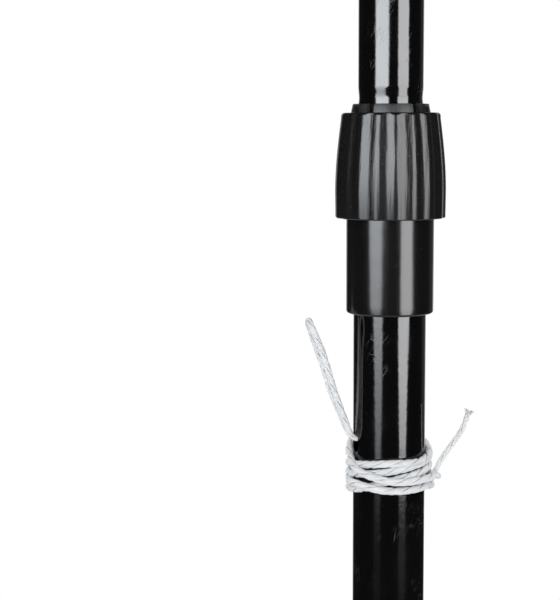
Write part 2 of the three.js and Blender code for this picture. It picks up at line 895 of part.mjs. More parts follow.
/** Unbroken tube of a given number of sides through a list of points, closed at both ends. */
function cordTube(points, sides) {
  const section = new THREE.Shape();
  for (let side = 0; side < sides; side += 1) {
    const angle = (2 * Math.PI * side) / sides;
    const corner = [cordRadius * Math.cos(angle), cordRadius * Math.sin(angle)];
    if (side === 0) section.moveTo(...corner);
    else section.lineTo(...corner);
  }
  section.closePath();
  const path = new THREE.CatmullRomCurve3(points, false, "centripetal");
  const options = { steps: points.length, extrudePath: path, bevelEnabled: false };
  return new THREE.ExtrudeGeometry(section, options);
}

/** Evenly spaced points along a run of cord, for measuring. */
function measuredRun(points) {
  return new THREE.CatmullRomCurve3(points, false, "centripetal").getSpacedPoints(points.length * 4);
}

/** Least distance between the skins of two runs of cord, or of one run that winds past itself. */
function leastGap(run, other) {
  const spacing = run[0].distanceTo(run[1]);
  let least = Infinity;
  for (let index = 0; index < run.length; index += 1) {
    for (let against = 0; against < other.length; against += 1) {
      const near = run === other && Math.abs(index - against) * spacing < 3 * cordDiameter;
      if (!near) least = Math.min(least, run[index].distanceTo(other[against]) - cordDiameter);
    }
  }
  return least;
}

/** Knot of the lashing: a rounded lump on the side of the tube. */
function makeKnot() {
  const lump = new THREE.SphereGeometry(1, 14, 9);
  return lump.scale(knotRadial, knotAround, knotTall);
}

/** Tank with its filling, filler and feet. */
function makeBase() {
  const group = new THREE.Group();
  group.add(piece("base_tank", makeTank(), tankPlastic));
  group.add(piece("sand_ballast", makeSand(), sand));
  const filler = new THREE.Group();
  const azimuth = radians(fillerAzimuth);
  const neckTop = tankSlopeHeight(fillerCircleRadius) + neckRiseOverTank;
  filler.position.set(fillerCircleRadius * Math.cos(azimuth), fillerCircleRadius * Math.sin(azimuth), neckTop);
  const seal = turned(
    [
      [neckBoreRadius, seatGap],
      [neckOuterRadius - seatGap, seatGap],
      [neckOuterRadius - seatGap, seatGap + sealThickness],
      [neckBoreRadius, seatGap + sealThickness],
    ],
    28,
  );
  filler.add(piece("filler_seal", seal, softRubber));
  filler.add(piece("filler_cap", makeFillerCap(), mattPlastic));
  group.add(filler);
  for (let index = 0; index < footCount; index += 1) {
    const foot = piece(`rubber_foot_${index + 1}`, makeFoot(), softRubber);
    const angle = (2 * Math.PI * index) / footCount;
    foot.position.set(footCircleRadius * Math.cos(angle), footCircleRadius * Math.sin(angle), 0);
    group.add(foot);
  }
  return group;
}

/** Socket bolted to the tank, with its liner and its clamping knob. */
function makeSocketGroup() {
  const group = new THREE.Group();
  const socket = piece("post_socket", makeSocket(), paintedSteel);
  socket.position.z = flangeFootHeight;
  group.add(socket);
  const liner = piece("socket_liner", makeSocketLiner(), mattPlastic);
  liner.position.z = socketTopHeight;
  group.add(liner);
  screwAzimuths().forEach((azimuth, index) => {
    const screw = piece(`flange_screw_${index + 1}`, makeFlangeScrew(), zincSteel);
    const angle = radians(azimuth);
    const height = flangeTopHeight + seatGap;
    screw.position.set(screwCircleRadius * Math.cos(angle), screwCircleRadius * Math.sin(angle), height);
    group.add(screw);
  });
  const knob = new THREE.Group();
  knob.position.z = knobHeight;
  knob.rotation.y = Math.PI / 2;
  const tip = piece("pressure_tip", makeTip(), nylon);
  tip.position.z = tipFaceReach;
  const screw = piece("knob_screw", makeKnobScrew(), zincSteel);
  screw.position.z = screwFootReach;
  const handle = piece("clamp_knob", makeKnob(), mattPlastic);
  handle.position.z = knobHubReach;
  knob.add(tip, screw, handle);
  group.add(knob);
  return group;
}

/** Both tubes with their plugs and caps. */
function makeTubes() {
  const group = new THREE.Group();
  const footCap = piece("tube_foot_cap", makeFootCap(), mattPlastic);
  footCap.position.z = footCapFootHeight;
  const plug = piece("guide_plug", makeGuidePlug(), nylon);
  plug.position.z = upperTubeFootHeight - seatGap;
  const cap = piece("top_cap", makeTopCap(), glossPlastic);
  cap.position.z = upperTubeTopHeight + seatGap;
  group.add(footCap, plug, cap);
  group.add(piece("lower_tube", makeLowerTube(), paintedSteel));
  group.add(piece("upper_tube", makeUpperTube(), paintedSteel));
  return group;
}

/** Twist clamp between the tubes. */
function makeClamp() {
  const group = new THREE.Group();
  group.add(piece("clamp_body", makeClampBody(), glossPlastic));
  group.add(piece("clamp_collet", makeCollet(), mattPlastic));
  group.add(piece("clamp_nut", makeNut(), glossPlastic));
  return group;
}

/** The cord: its free loop, the two strands of its lashing, its knot and its tail. */
function makeCord() {
  const group = new THREE.Group();
  const routeOf = (route) => route.map((place) => new THREE.Vector3(...place));
  const first = windingPoints(firstStrand);
  const second = windingPoints(secondStrand);
  const inner = measuredRun(first);
  const outer = measuredRun(second);
  const gaps = [leastGap(inner, inner), leastGap(outer, outer), leastGap(inner, outer)];
  console.log(`Lashing, least gaps in mm: ${gaps.map((gap) => gap.toFixed(2)).join(", ")}`);
  group.add(piece("cord_loop", cordTube(routeOf(loopRoute), 8), whiteCord));
  group.add(piece("lashing_first_strand", cordTube(first, cordSides), whiteCord));
  group.add(piece("lashing_second_strand", cordTube(second, cordSides), whiteCord));
  const knot = piece("cord_knot", makeKnot(), whiteCord);
  knot.position.set(windingRadius + cordRadius, 0, knotHeight);
  group.add(knot);
  group.add(piece("cord_tail", cordTube(routeOf(tailRoute), 8), whiteCord));
  return group;
}

const post = new THREE.Group();
post.add(makeBase(), makeSocketGroup(), makeTubes(), makeClamp(), makeCord());

export default post;
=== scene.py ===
"""Looks of a telescopic badminton net post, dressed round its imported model.

Two black enamelled tubes telescope in a twist clamp and stand in the socket of a round
tank filled with sand. A white twisted cord is laced through the lower tube, lashed
round it and knotted. Lengths are metres in the model's own frame: +Z runs up the tubes
and the origin is on the floor under them.
"""

import logging
import math
import random
from dataclasses import dataclass
from enum import Enum
from typing import Any, Callable, Iterable, Sequence

import bmesh
import bpy
import numpy as np
from mathutils import Matrix, Vector


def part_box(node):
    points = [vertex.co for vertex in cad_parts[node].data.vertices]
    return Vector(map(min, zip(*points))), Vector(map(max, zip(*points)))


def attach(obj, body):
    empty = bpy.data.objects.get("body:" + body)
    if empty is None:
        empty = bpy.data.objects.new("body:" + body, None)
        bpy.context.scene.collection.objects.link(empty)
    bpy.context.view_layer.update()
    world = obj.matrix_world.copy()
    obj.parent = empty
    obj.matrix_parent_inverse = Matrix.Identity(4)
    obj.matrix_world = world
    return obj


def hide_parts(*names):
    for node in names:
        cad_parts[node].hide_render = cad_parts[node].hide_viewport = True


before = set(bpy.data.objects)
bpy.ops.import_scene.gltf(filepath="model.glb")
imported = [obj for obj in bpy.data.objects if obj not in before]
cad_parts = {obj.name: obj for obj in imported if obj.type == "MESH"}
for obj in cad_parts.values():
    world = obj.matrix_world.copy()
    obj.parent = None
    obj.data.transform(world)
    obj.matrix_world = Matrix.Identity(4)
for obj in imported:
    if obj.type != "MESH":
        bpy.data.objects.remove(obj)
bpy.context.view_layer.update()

LOG = logging.getLogger("net_post")
MM = 0.001
SEED = 1550
FIBRE_PLACE = "fibre_place"

SEAT_GAP = 0.3 * MM
FINE_EDGE = 0.2 * MM
CRISP_EDGE = 0.3 * MM
EASED_EDGE = 0.4 * MM
SOFT_EDGE = 0.5 * MM
MOULDED_EDGE = 0.8 * MM
ROUND_EDGE = 1.2 * MM
FULL_EDGE = 1.6 * MM

Array = np.ndarray
Pair = tuple[float, float]
Triple = tuple[float, float, float]
Colour = Triple
Face = tuple[int, ...]
Profile = list[Pair]
Sink = tuple[Array | float, Array | float]
Shaping = Callable[[float, float, Array], Sink]
Settings = dict[Any, Any] | None
WHITE = (1.0, 1.0, 1.0)


class Body(Enum):
    """Bodies of the record that the pieces ride on."""

    BASE = "base"
    CAP = "cap"
    KNOB = "knob"
    POST = "post"
    COLLET = "collet"
    NUT = "nut"
    EXTENSION = "extension"


class Slot(Enum):
    """Material slots of the record."""

    ENAMEL = "tube_paint"
    CLAMP = "clamp_plastic"
    COLLET = "collet_plastic"
    MATT = "matt_plastic"
    TANK = "tank_plastic"
    RUBBER = "rubber"
    ZINC = "zinc_steel"
    NYLON = "nylon"
    SAND = "sand"
    CORD = "white_cord"


def eased(value: Array | float, start: float, end: float) -> Array | float:
    """Rises smoothly from 0 to 1 while value goes from start to end.

    Args:
        value: One number or an array of them.
        start: Where the rise starts.
        end: Where it is complete.

    Returns:
        The eased share, of value's own shape.
    """
    share = np.clip((value - start) / (end - start), 0.0, 1.0)
    return share * share * (3.0 - 2.0 * share)


@dataclass(frozen=True)
class Corner:
    """A corner of a turned outline and the radius that rounds it.

    Args:
        reach: Distance from the axis.
        height: Place along the axis.
        fillet: Radius of the rounding, or zero for a sharp corner.
    """

    reach: float
    height: float
    fillet: float = 0.0


def rounded(corners: Sequence[Corner], closed: bool, steps: int = 5) -> Profile:
    """Rounds the corners of an outline.

    Args:
        corners: Corners in order, upwards on the outside.
        closed: Whether the last corner joins the first.
        steps: Edges along each rounding.

    Returns:
        The outline's points as (reach, height).
    """
    points: Profile = []
    count = len(corners)
    for index, corner in enumerate(corners):
        at = np.array([corner.reach, corner.height])
        end = not closed and index in (0, count - 1)
        if end or corner.fillet <= 0.0:
            points.append((corner.reach, corner.height))
            continue
        before, after = corners[index - 1], corners[(index + 1) % count]
        back = np.array([before.reach, before.height]) - at
        ahead = np.array([after.reach, after.height]) - at
        back_length, ahead_length = np.linalg.norm(back), np.linalg.norm(ahead)
        back, ahead = back / back_length, ahead / ahead_length
        half = math.acos(float(np.clip(back @ ahead, -1.0, 1.0))) / 2
        cut = min(corner.fillet / math.tan(half), 0.49 * back_length, 0.49 * ahead_length)
        radius = cut * math.tan(half)
        middle = (back + ahead) / np.linalg.norm(back + ahead)
        centre = at + middle * radius / math.sin(half)
        first, last = at + back * cut - centre, at + ahead * cut - centre
        start = math.atan2(first[1], first[0])
        turn = math.atan2(last[1], last[0]) - start
        turn = (turn + math.pi) % (2 * math.pi) - math.pi
        for step in range(steps + 1):
            angle = start + turn * step / steps
            points.append((centre[0] + radius * math.cos(angle), centre[1] + radius * math.sin(angle)))
    return points


def with_rows(profile: Profile, low: float, high: float, spacing: float) -> Profile:
    """Adds evenly spaced points to the steep stretches of an outline.

    Args:
        profile: Points as (reach, height).
        low: Lowest height that gets rows.
        high: Highest height that gets rows.
        spacing: Greatest distance between two rows.

    Returns:
        The outline with the added points.
    """
    points = [profile[0]]
    for (reach, height), (next_reach, next_height) in zip(profile, profile[1:]):
        inside = min(height, next_height) >= low - MM and max(height, next_height) <= high + MM
        long = math.hypot(next_reach - reach, next_height - height)
        steps = max(1, math.ceil(long / spacing)) if inside else 1
        for step in range(1, steps + 1):
            share = step / steps
            points.append((reach + share * (next_reach - reach), height + share * (next_height - height)))
    return points


class Form:
    """Vertices and faces of a mesh that is being built."""

    def __init__(
        self,
        vertices: Array | None = None,
        faces: list[Face] | None = None,
        places: Array | None = None,
    ) -> None:
        """Starts from given vertices and faces, or from nothing.

        Args:
            vertices: Array of points, one a row.
            faces: Faces as tuples of vertex numbers.
            places: Each vertex's place in the run of the fibres, in millimetres.
        """
        self.vertices = np.zeros((0, 3)) if vertices is None else np.asarray(vertices, float)
        self.faces = [] if faces is None else faces
        self.places = self.vertices / MM if places is None else places

    def add(self, other: "Form") -> "Form":
        """Takes in another form and returns this one."""
        first = len(self.vertices)
        self.vertices = np.vstack([self.vertices, other.vertices])
        self.places = np.vstack([self.places, other.places])
        self.faces += [tuple(first + corner for corner in face) for face in other.faces]
        return self

    def placed(self, matrix: Matrix) -> "Form":
        """Gives a copy moved by a matrix."""
        change = np.array(matrix)
        moved = self.vertices @ change[:3, :3].T + change[:3, 3]
        return Form(moved, list(self.faces))

    def mesh(self, name: str) -> bpy.types.Mesh:
        """Makes the mesh, with its faces pointing out.

        Args:
            name: Name of the mesh.

        Returns:
            The new mesh.
        """
        mesh = bpy.data.meshes.new(name)
        mesh.from_pydata([tuple(point) for point in self.vertices], [], self.faces)
        fibres = mesh.attributes.new(FIBRE_PLACE, "FLOAT_VECTOR", "POINT")
        fibres.data.foreach_set("vector", self.places.astype(np.float32).ravel())
        mesh.validate()
        mesh.update()
        return mesh


def turned(profile: Profile, steps: int, shaped: Shaping | None = None) -> Form:
    """Turns an outline about Z.

    Args:
        profile: Points as (reach, height), upwards on the outside. It starts and ends on
            the axis, or closes on itself round an opening.
        steps: Facets round the axis.
        shaped: From a ring's (reach, height, angles), how far its points sink in and down.

    Returns:
        The closed form.
    """
    angles = np.arange(steps) * 2 * math.pi / steps
    rings: list[Array] = []
    starts: list[int] = []
    total = 0
    for reach, height in profile:
        if reach == 0.0:
            ring = np.array([[0.0, 0.0, height]])
        else:
            sink_in, sink_down = shaped(reach, height, angles) if shaped else (0.0, 0.0)
            reaches, heights = np.full(steps, reach) - sink_in, np.full(steps, height) - sink_down
            ring = np.stack([reaches * np.cos(angles), reaches * np.sin(angles), heights], axis=1)
        rings.append(ring)
        starts.append(total)
        total += len(ring)
    open_ends = profile[0][0] == 0.0
    faces: list[Face] = []
    for row in range(len(rings) - (1 if open_ends else 0)):
        above = (row + 1) % len(rings)
        low, high = starts[row], starts[above]
        for step in range(steps):
            after = (step + 1) % steps
            if len(rings[row]) == 1:
                faces.append((low, high + after, high + step))
            elif len(rings[above]) == 1:
                faces.append((low + step, low + after, high))
            else:
                faces.append((low + step, low + after, high + after, high + step))
    return Form(np.vstack(rings), faces)


def lathed(corners: Sequence[Corner], steps: int, closed: bool = False, rounding: int = 5) -> Form:
    """Turns an outline with rounded corners about Z.

    Args:
        corners: Corners in order, upwards on the outside.
        steps: Facets round the axis.
        closed: Whether the last corner joins the first, round an opening.
        rounding: Edges along each rounding.

    Returns:
        The closed form.
    """
    return turned(rounded(corners, closed, rounding), steps)


def smooth_path(points: Sequence[Sequence[float]], spacing: float) -> Array:
    """Evenly spaced points along a centripetal Catmull-Rom curve.

    Args:
        points: Points that the curve passes through.
        spacing: Distance between the points that are given back.

    Returns:
        Array of points, one a row.
    """
    through = np.asarray(points, float)
    ends = np.vstack([2 * through[0] - through[1], through, 2 * through[-1] - through[-2]])
    dense: list[Array] = []
    for index in range(len(through) - 1):
        four = ends[index:index + 4]
        knots = np.concatenate([[0.0], np.cumsum(np.linalg.norm(np.diff(four, axis=0), axis=1) ** 0.5)])
        at = np.linspace(knots[1], knots[2], 24, endpoint=index == len(through) - 2)[:, None]
        first = [
            ((knots[k + 1] - at) * four[k] + (at - knots[k]) * four[k + 1]) / (knots[k + 1] - knots[k])
            for k in range(3)
        ]
        second = [
            ((knots[k + 2] - at) * first[k] + (at - knots[k]) * first[k + 1]) / (knots[k + 2] - knots[k])
            for k in range(2)
        ]
        dense.append(((knots[2] - at) * second[0] + (at - knots[1]) * second[1]) / (knots[2] - knots[1]))
    line = np.vstack(dense)
    along = np.concatenate([[0.0], np.cumsum(np.linalg.norm(np.diff(line, axis=0), axis=1))])
    count = max(2, round(along[-1] / spacing) + 1)
    at_even = np.linspace(0.0, along[-1], count)
    return np.stack([np.interp(at_even, along, line[:, axis]) for axis in range(3)], axis=1)


def frames_along(line: Array) -> tuple[Array, Array, Array]:
    """Frames that follow a line with the least twist.

    Args:
        line: Array of points, one a row.

    Returns:
        Directions along the line, and two directions across it, as three arrays.
    """
    along = np.gradient(line, axis=0)
    along /= np.linalg.norm(along, axis=1)[:, None]
    across = np.zeros_like(line)
    first = np.cross(along[0], [0.0, 0.0, 1.0])
    if np.linalg.norm(first) < 0.1:
        first = np.cross(along[0], [1.0, 0.0, 0.0])
    across[0] = first / np.linalg.norm(first)
    for index in range(1, len(line)):
        carried = across[index - 1] - (across[index - 1] @ along[index]) * along[index]
        across[index] = carried / np.linalg.norm(carried)
    return along, across, np.cross(along, across)


def ring_faces(rings: int, sides: int, closed: bool = False) -> list[Face]:
    """Faces between rings of vertices that follow one another."""
    faces: list[Face] = []
    for ring in range(rings if closed else rings - 1):
        low, high = ring * sides, ((ring + 1) % rings) * sides
        for side in range(sides):
            after = (side + 1) % sides
            faces.append((low + side, low + after, high + after, high + side))
    return faces


def swept(line: Array, reaches: Array, angles: Array, closed: bool = False) -> Form:
    """Sweeps a round section along a line.

    Args:
        line: Points of the centre line, one a row.
        reaches: Distance of each section point from the line, one row a ring.
        angles: Angle of each section point round the line, one row a ring.
        closed: Whether the last ring joins the first.

    Returns:
        The tube, with closed ends unless it joins itself.
    """
    _, across, other = frames_along(line)
    rings, sides = reaches.shape
    points = (
        line[:, None, :]
        + (reaches * np.cos(angles))[:, :, None] * across[:, None, :]
        + (reaches * np.sin(angles))[:, :, None] * other[:, None, :]
    ).reshape(-1, 3)
    faces = ring_faces(rings, sides, closed)
    if not closed:
        faces.append(tuple(reversed(range(sides))))
        faces.append(tuple((rings - 1) * sides + side for side in range(sides)))
    return Form(points, faces)


def rod(line: Array, radius: float | Array, sides: int, closed: bool = False) -> Form:
    """Sweeps a plain round section, whose radius may change, along a line."""
    reaches = np.ones((len(line), sides)) * np.reshape(radius, (-1, 1))
    angles = np.tile(np.arange(sides) * 2 * math.pi / sides, (len(line), 1))
    return swept(line, reaches, angles, closed)


class Socket:
    """Number socket of a node tree that takes part in arithmetic."""

    def __init__(self, graph: "Graph", socket: bpy.types.NodeSocket) -> None:
        """Wraps a socket of a graph.

        Args:
            graph: Graph that the socket belongs to.
            socket: Output socket that holds a number.
        """
        self.graph = graph
        self.socket = socket

    def _maths(self, operation: str, *values: Any) -> "Socket":
        """Adds one Math node and wraps its result."""
        inputs = dict(enumerate(values))
        return self.graph.number("Math", {"operation": operation}, inputs)

    def __add__(self, other: "Socket | float") -> "Socket":
        """Sum of both."""
        return self._maths("ADD", self, other)

    def __radd__(self, other: float) -> "Socket":
        """Sum of both."""
        return self._maths("ADD", other, self)

    def __sub__(self, other: "Socket | float") -> "Socket":
        """This less the other."""
        return self._maths("SUBTRACT", self, other)

    def __rsub__(self, other: float) -> "Socket":
        """The other less this."""
        return self._maths("SUBTRACT", other, self)

    def __mul__(self, other: "Socket | float") -> "Socket":
        """Product of both."""
        return self._maths("MULTIPLY", self, other)

    def __rmul__(self, other: float) -> "Socket":
        """Product of both."""
        return self._maths("MULTIPLY", other, self)

    def __gt__(self, other: float) -> "Socket":
        """One where this is the greater, and zero elsewhere."""
        return self._maths("GREATER_THAN", self, other)

    def between(self, low: float, high: float) -> "Socket":
        """Share of the way from one value to another, smooth and held to 0 and 1."""
        settings = {"interpolation_type": "SMOOTHSTEP"}
        inputs = {"Value": self, "From Min": low, "From Max": high}
        return self.graph.number("MapRange", settings, inputs)


class Graph:
    """Node tree of one material, light or world."""

    def __init__(self, tree: bpy.types.NodeTree) -> None:
        """Empties a tree and starts a graph in it.

        Args:
            tree: Node tree of a material, a light or the world.
        """
        self.tree = tree
        self.tree.nodes.clear()

    def node(self, kind: str, settings: Settings = None, inputs: Settings = None) -> bpy.types.Node:
        """Adds a node.

        Args:
            kind: Type of the node, without the word ShaderNode.
            settings: Its settings, set first. "stops" lists a ramp's (place, colour) pairs.
            inputs: Values or links of its sockets, by name or number.

        Returns:
            The new node.
        """
        node = self.tree.nodes.new(f"ShaderNode{kind}")
        for name, value in (settings or {}).items():
            if name == "stops":
                self._set_stops(node, value)
            else:
                setattr(node, name, value)
        for name, value in (inputs or {}).items():
            source = value.socket if isinstance(value, Socket) else value
            if isinstance(source, bpy.types.NodeSocket):
                self.tree.links.new(source, node.inputs[name])
            else:
                node.inputs[name].default_value = source
        return node

    @staticmethod
    def _set_stops(node: bpy.types.Node, stops: Sequence[tuple[float, Sequence[float]]]) -> None:
        """Gives a ramp its stops."""
        elements = node.color_ramp.elements
        while len(elements) < len(stops):
            elements.new(1.0)
        for element, (place, colour) in zip(elements, stops):
            element.position = place
            element.color = (*colour, 1.0)

    def number(self, kind: str, settings: Settings = None, inputs: Settings = None) -> Socket:
        """Adds a node and wraps its first output as a number."""
        return Socket(self, self.node(kind, settings, inputs).outputs[0])

    def millimetres(self, stretch: Sequence[float] = (1.0, 1.0, 1.0)) -> bpy.types.NodeSocket:
        """Place on the object in millimetres, stretched along each axis."""
        place = self.node("TexCoord").outputs["Object"]
        scale = tuple(share / MM for share in stretch)
        return self.node("VectorMath", {"operation": "MULTIPLY"}, {0: place, 1: scale}).outputs[0]

    def noise(
        self, place: bpy.types.NodeSocket, scale: float, detail: float = 2.0, roughness: float = 0.5
    ) -> Socket:
        """Smooth noise between 0 and 1."""
        inputs = {"Vector": place, "Scale": scale, "Detail": detail, "Roughness": roughness}
        return self.number("TexNoise", None, inputs)

    def cells(self, place: bpy.types.NodeSocket, scale: float, feature: str = "F1") -> bpy.types.Node:
        """Voronoi cells, for specks, grains and scratches."""
        return self.node("TexVoronoi", {"feature": feature}, {"Vector": place, "Scale": scale})

    def mixed(self, share: Any, first: Any, second: Any) -> bpy.types.NodeSocket:
        """Colour between two colours.

        Args:
            share: Share of the second colour.
            first: Colour as three numbers, or a socket.
            second: Colour as three numbers, or a socket.

        Returns:
            The mixed colour's socket.
        """
        colours = [(*each, 1.0) if isinstance(each, tuple) else each for each in (first, second)]
        inputs = {"Factor": share, 6: colours[0], 7: colours[1]}
        return self.node("Mix", {"data_type": "RGBA"}, inputs).outputs[2]

    def bump(self, height: Socket, distance: float, normal: Any = None) -> bpy.types.NodeSocket:
        """Raises the surface by a height between 0 and 1 times a distance in metres."""
        inputs: dict[Any, Any] = {"Height": height, "Distance": distance, "Strength": 1.0}
        if normal is not None:
            inputs["Normal"] = normal
        return self.node("Bump", None, inputs).outputs[0]


@dataclass(frozen=True)
class Finish:
    """Surface of a material.

    Args:
        name: Name of the material.
        colour: Its colour, linear.
        roughness: Its usual roughness.
        slot: Slot of the record that it stands for; not used.
    """

    name: str
    colour: Colour
    roughness: float
    slot: Slot

    def material(self) -> bpy.types.Material:
        """Gives the finish's material, made on its first use."""
        found = bpy.data.materials.get(self.name)
        if found is not None:
            return found
        material = bpy.data.materials.new(self.name)
        material.use_nodes = True
        graph = Graph(material.node_tree)
        inputs = {"Base Color": (*self.colour, 1.0), "Roughness": self.roughness}
        inputs.update(self.surface(graph))
        shader = graph.node("BsdfPrincipled", None, inputs)
        graph.node("OutputMaterial", None, {"Surface": shader.outputs[0]})
        return material

    def surface(self, graph: Graph) -> dict[str, Any]:
        """Inputs of the shader that differ from the plain colour and roughness."""
        return {}


@dataclass(frozen=True)
class Enamel(Finish):
    """Gloss enamel on a drawn tube, with ripples, drag scratches and specks of dust."""

    name: str = "black_enamel"
    colour: Colour = (0.0026, 0.0025, 0.003)
    roughness: float = 0.08
    slot: Slot = Slot.ENAMEL
    ripple: float = 0.036 * MM
    ripple_length: float = 2.6
    peel: float = 0.0035 * MM
    relief: float = 0.03 * MM
    scratch_lean: float = 34.0
    dust: Colour = (0.32, 0.33, 0.35)
    scratch: Colour = (0.05, 0.05, 0.052)

    def surface(self, graph: Graph) -> dict[str, Any]:
        """Ripples bend the reflections, and scratches and dust break them."""
        place = graph.millimetres()
        ripple = graph.noise(place, scale=1.0 / self.ripple_length)
        peel = graph.noise(place, scale=0.9, detail=1.5)
        streak = graph.noise(graph.millimetres((0.9, 0.9, 0.035)), scale=1.6, detail=3.0)
        scratches = self._scratches(graph)
        specks = dust_specks(graph, place)
        smudge = graph.noise(place, scale=0.06, detail=3.0).between(0.42, 0.7)
        rough = self.roughness + 0.05 * smudge + 0.3 * scratches + 0.5 * specks
        colour = graph.mixed(scratches * 0.8, self.colour, self.scratch)
        colour = graph.mixed(specks, colour, self.dust)
        normal = graph.bump(ripple, self.ripple)
        normal = graph.bump(peel + 0.6 * streak, self.peel, normal)
        normal = graph.bump(specks - 0.5 * scratches, self.relief, normal)
        return {
            "Base Color": colour,
            "Roughness": rough,
            "Normal": normal,
            "IOR": 1.5,
            "Coat Weight": 0.25,
            "Coat Roughness": 0.03,
        }

    def _scratches(self, graph: Graph) -> Socket:
        """Fine slanting scratches, in sparse patches."""
        place = graph.millimetres()
        lean = (0.0, math.radians(self.scratch_lean), 0.0)
        leaning = graph.node(
            "Mapping",
            {"vector_type": "TEXTURE"},
            {"Vector": place, "Rotation": lean, "Scale": (1.0, 1.0, 26.0)},
        ).outputs[0]
        lines = Socket(graph, graph.cells(leaning, 0.55, "DISTANCE_TO_EDGE").outputs["Distance"])
        patches = graph.noise(place, scale=0.07).between(0.56, 0.68)
        return (1.0 - lines.between(0.0, 0.018)) * patches


def dust_specks(graph: Graph, place: bpy.types.NodeSocket) -> Socket:
    """Specks of dust: a few cells of a fine pattern, each with a small dot in it."""
    cells = graph.cells(place, 0.34)
    dot = 1.0 - Socket(graph, cells.outputs["Distance"]).between(0.025, 0.06)
    chosen = graph.number("SeparateColor", None, {"Color": cells.outputs["Color"]})
    return dot * (chosen > 0.8)


@dataclass(frozen=True)
class GlossPlastic(Finish):
    """Moulded clamp plastic with faint drag marks and worn edges."""

    name: str = "clamp_moulding"
    colour: Colour = (0.0062, 0.0058, 0.0062)
    roughness: float = 0.13
    slot: Slot = Slot.CLAMP
    sink: float = 0.05 * MM
    grain: float = 0.0016 * MM
    gloss: float = 0.5
    furrow: float = 0.0
    scuffed: Colour = (0.016, 0.016, 0.018)
    dust: Colour = (0.25, 0.25, 0.26)

    def surface(self, graph: Graph) -> dict[str, Any]:
        """Fine drag marks run along the part, and dust and scuffs lie on it."""
        place = graph.millimetres()
        drag = graph.noise(graph.millimetres((1.0, 1.0, 0.05)), scale=1.4, detail=3.0)
        fine = graph.noise(place, scale=6.0, detail=3.0)
        sink = graph.noise(place, scale=0.11, detail=1.0)
        scuff = graph.noise(place, scale=0.5, detail=4.0, roughness=0.7).between(0.6, 0.72)
        specks = dust_specks(graph, graph.millimetres((1.1, 1.1, 1.1)))
        rough = self.roughness + 0.05 * drag + 0.12 * scuff + 0.3 * specks
        colour = graph.mixed(scuff * 0.35, self.colour, self.scuffed)
        colour = graph.mixed(specks * 0.7, colour, self.dust)
        normal = graph.bump(sink, self.sink)
        if self.furrow:
            furrows = graph.noise(graph.millimetres((1.0, 1.0, 0.06)), scale=0.62)
            normal = graph.bump(furrows, self.furrow, normal)
        normal = graph.bump(drag + 0.3 * fine, self.grain, normal)
        return {
            "Base Color": colour,
            "Roughness": rough,
            "Normal": normal,
            "IOR": 1.5,
            "Specular IOR Level": self.gloss,
        }


@dataclass(frozen=True)
class MattPlastic(Finish):
    """Moulding with a fine spark-eroded grain and paler worn patches."""

    name: str = "grained_moulding"
    colour: Colour = (0.02, 0.02, 0.021)
    roughness: float = 0.55
    slot: Slot = Slot.MATT
    worn: Colour = (0.05, 0.05, 0.05)
    grain_scale: float = 3.2
    grain: float = 0.02 * MM

    def surface(self, graph: Graph) -> dict[str, Any]:
        """A pebbled grain with uneven rubbing."""
        place = graph.millimetres()
        pebbles = Socket(graph, graph.cells(place, self.grain_scale, "SMOOTH_F1").outputs["Distance"])
        cloud = graph.noise(place, scale=0.25, detail=4.0, roughness=0.65)
        rubbed = cloud.between(0.5, 0.78)
        colour = graph.mixed(rubbed * 0.6, self.colour, self.worn)
        rough = self.roughness + 0.14 * cloud - 0.12 * rubbed
        normal = graph.bump(pebbles + 0.4 * cloud, self.grain)
        return {"Base Color": colour, "Roughness": rough, "Normal": normal}


@dataclass(frozen=True)
class TankPlastic(Finish):
    """Blow-moulded skin with an orange-peel grain and floor scuffs on its lower side."""

    name: str = "blow_moulding"
    colour: Colour = (0.018, 0.019, 0.021)
    roughness: float = 0.42
    slot: Slot = Slot.TANK
    dusty: Colour = (0.11, 0.105, 0.095)
    dust_heights: Pair = (8.0, 46.0)
    wave: float = 1.2 * MM
    peel: float = 0.06 * MM

    def surface(self, graph: Graph) -> dict[str, Any]:
        """Orange peel, wall waves and dust that gathers low on the side."""
        place = graph.millimetres()
        peel = graph.noise(place, scale=0.55, detail=3.0, roughness=0.6)
        waves = graph.noise(place, scale=0.03, detail=1.0)
        height = graph.node("SeparateXYZ", None, {"Vector": place}).outputs["Z"]
        low = 1.0 - Socket(graph, height).between(*self.dust_heights)
        dirt = graph.noise(place, scale=0.12, detail=5.0, roughness=0.7).between(0.4, 0.75)
        dust = graph.noise(place, scale=0.9, detail=4.0, roughness=0.7).between(0.5, 0.8)
        soil = 0.6 * low * dirt + 0.1 * dust
        colour = graph.mixed(soil, self.colour, self.dusty)
        rough = self.roughness + 0.25 * soil + 0.08 * peel
        normal = graph.bump(waves, self.wave)
        normal = graph.bump(peel, self.peel, normal)
        return {"Base Color": colour, "Roughness": rough, "Normal": normal}


@dataclass(frozen=True)
class Rubber(Finish):
    """Moulded rubber with a bloom of dust."""

    name: str = "foot_rubber"
    colour: Colour = (0.016, 0.016, 0.016)
    roughness: float = 0.78
    slot: Slot = Slot.RUBBER
    bloomed: Colour = (0.06, 0.058, 0.055)
    grain: float = 0.03 * MM

    def surface(self, graph: Graph) -> dict[str, Any]:
        """Uneven bloom over a fine grain."""
        place = graph.millimetres()
        bloom = graph.noise(place, scale=0.4, detail=4.0, roughness=0.65)
        colour = graph.mixed(bloom.between(0.45, 0.8) * 0.5, self.colour, self.bloomed)
        normal = graph.bump(graph.noise(place, scale=3.0, detail=3.0), self.grain)
        return {"Base Color": colour, "Roughness": self.roughness + 0.1 * bloom, "Normal": normal}


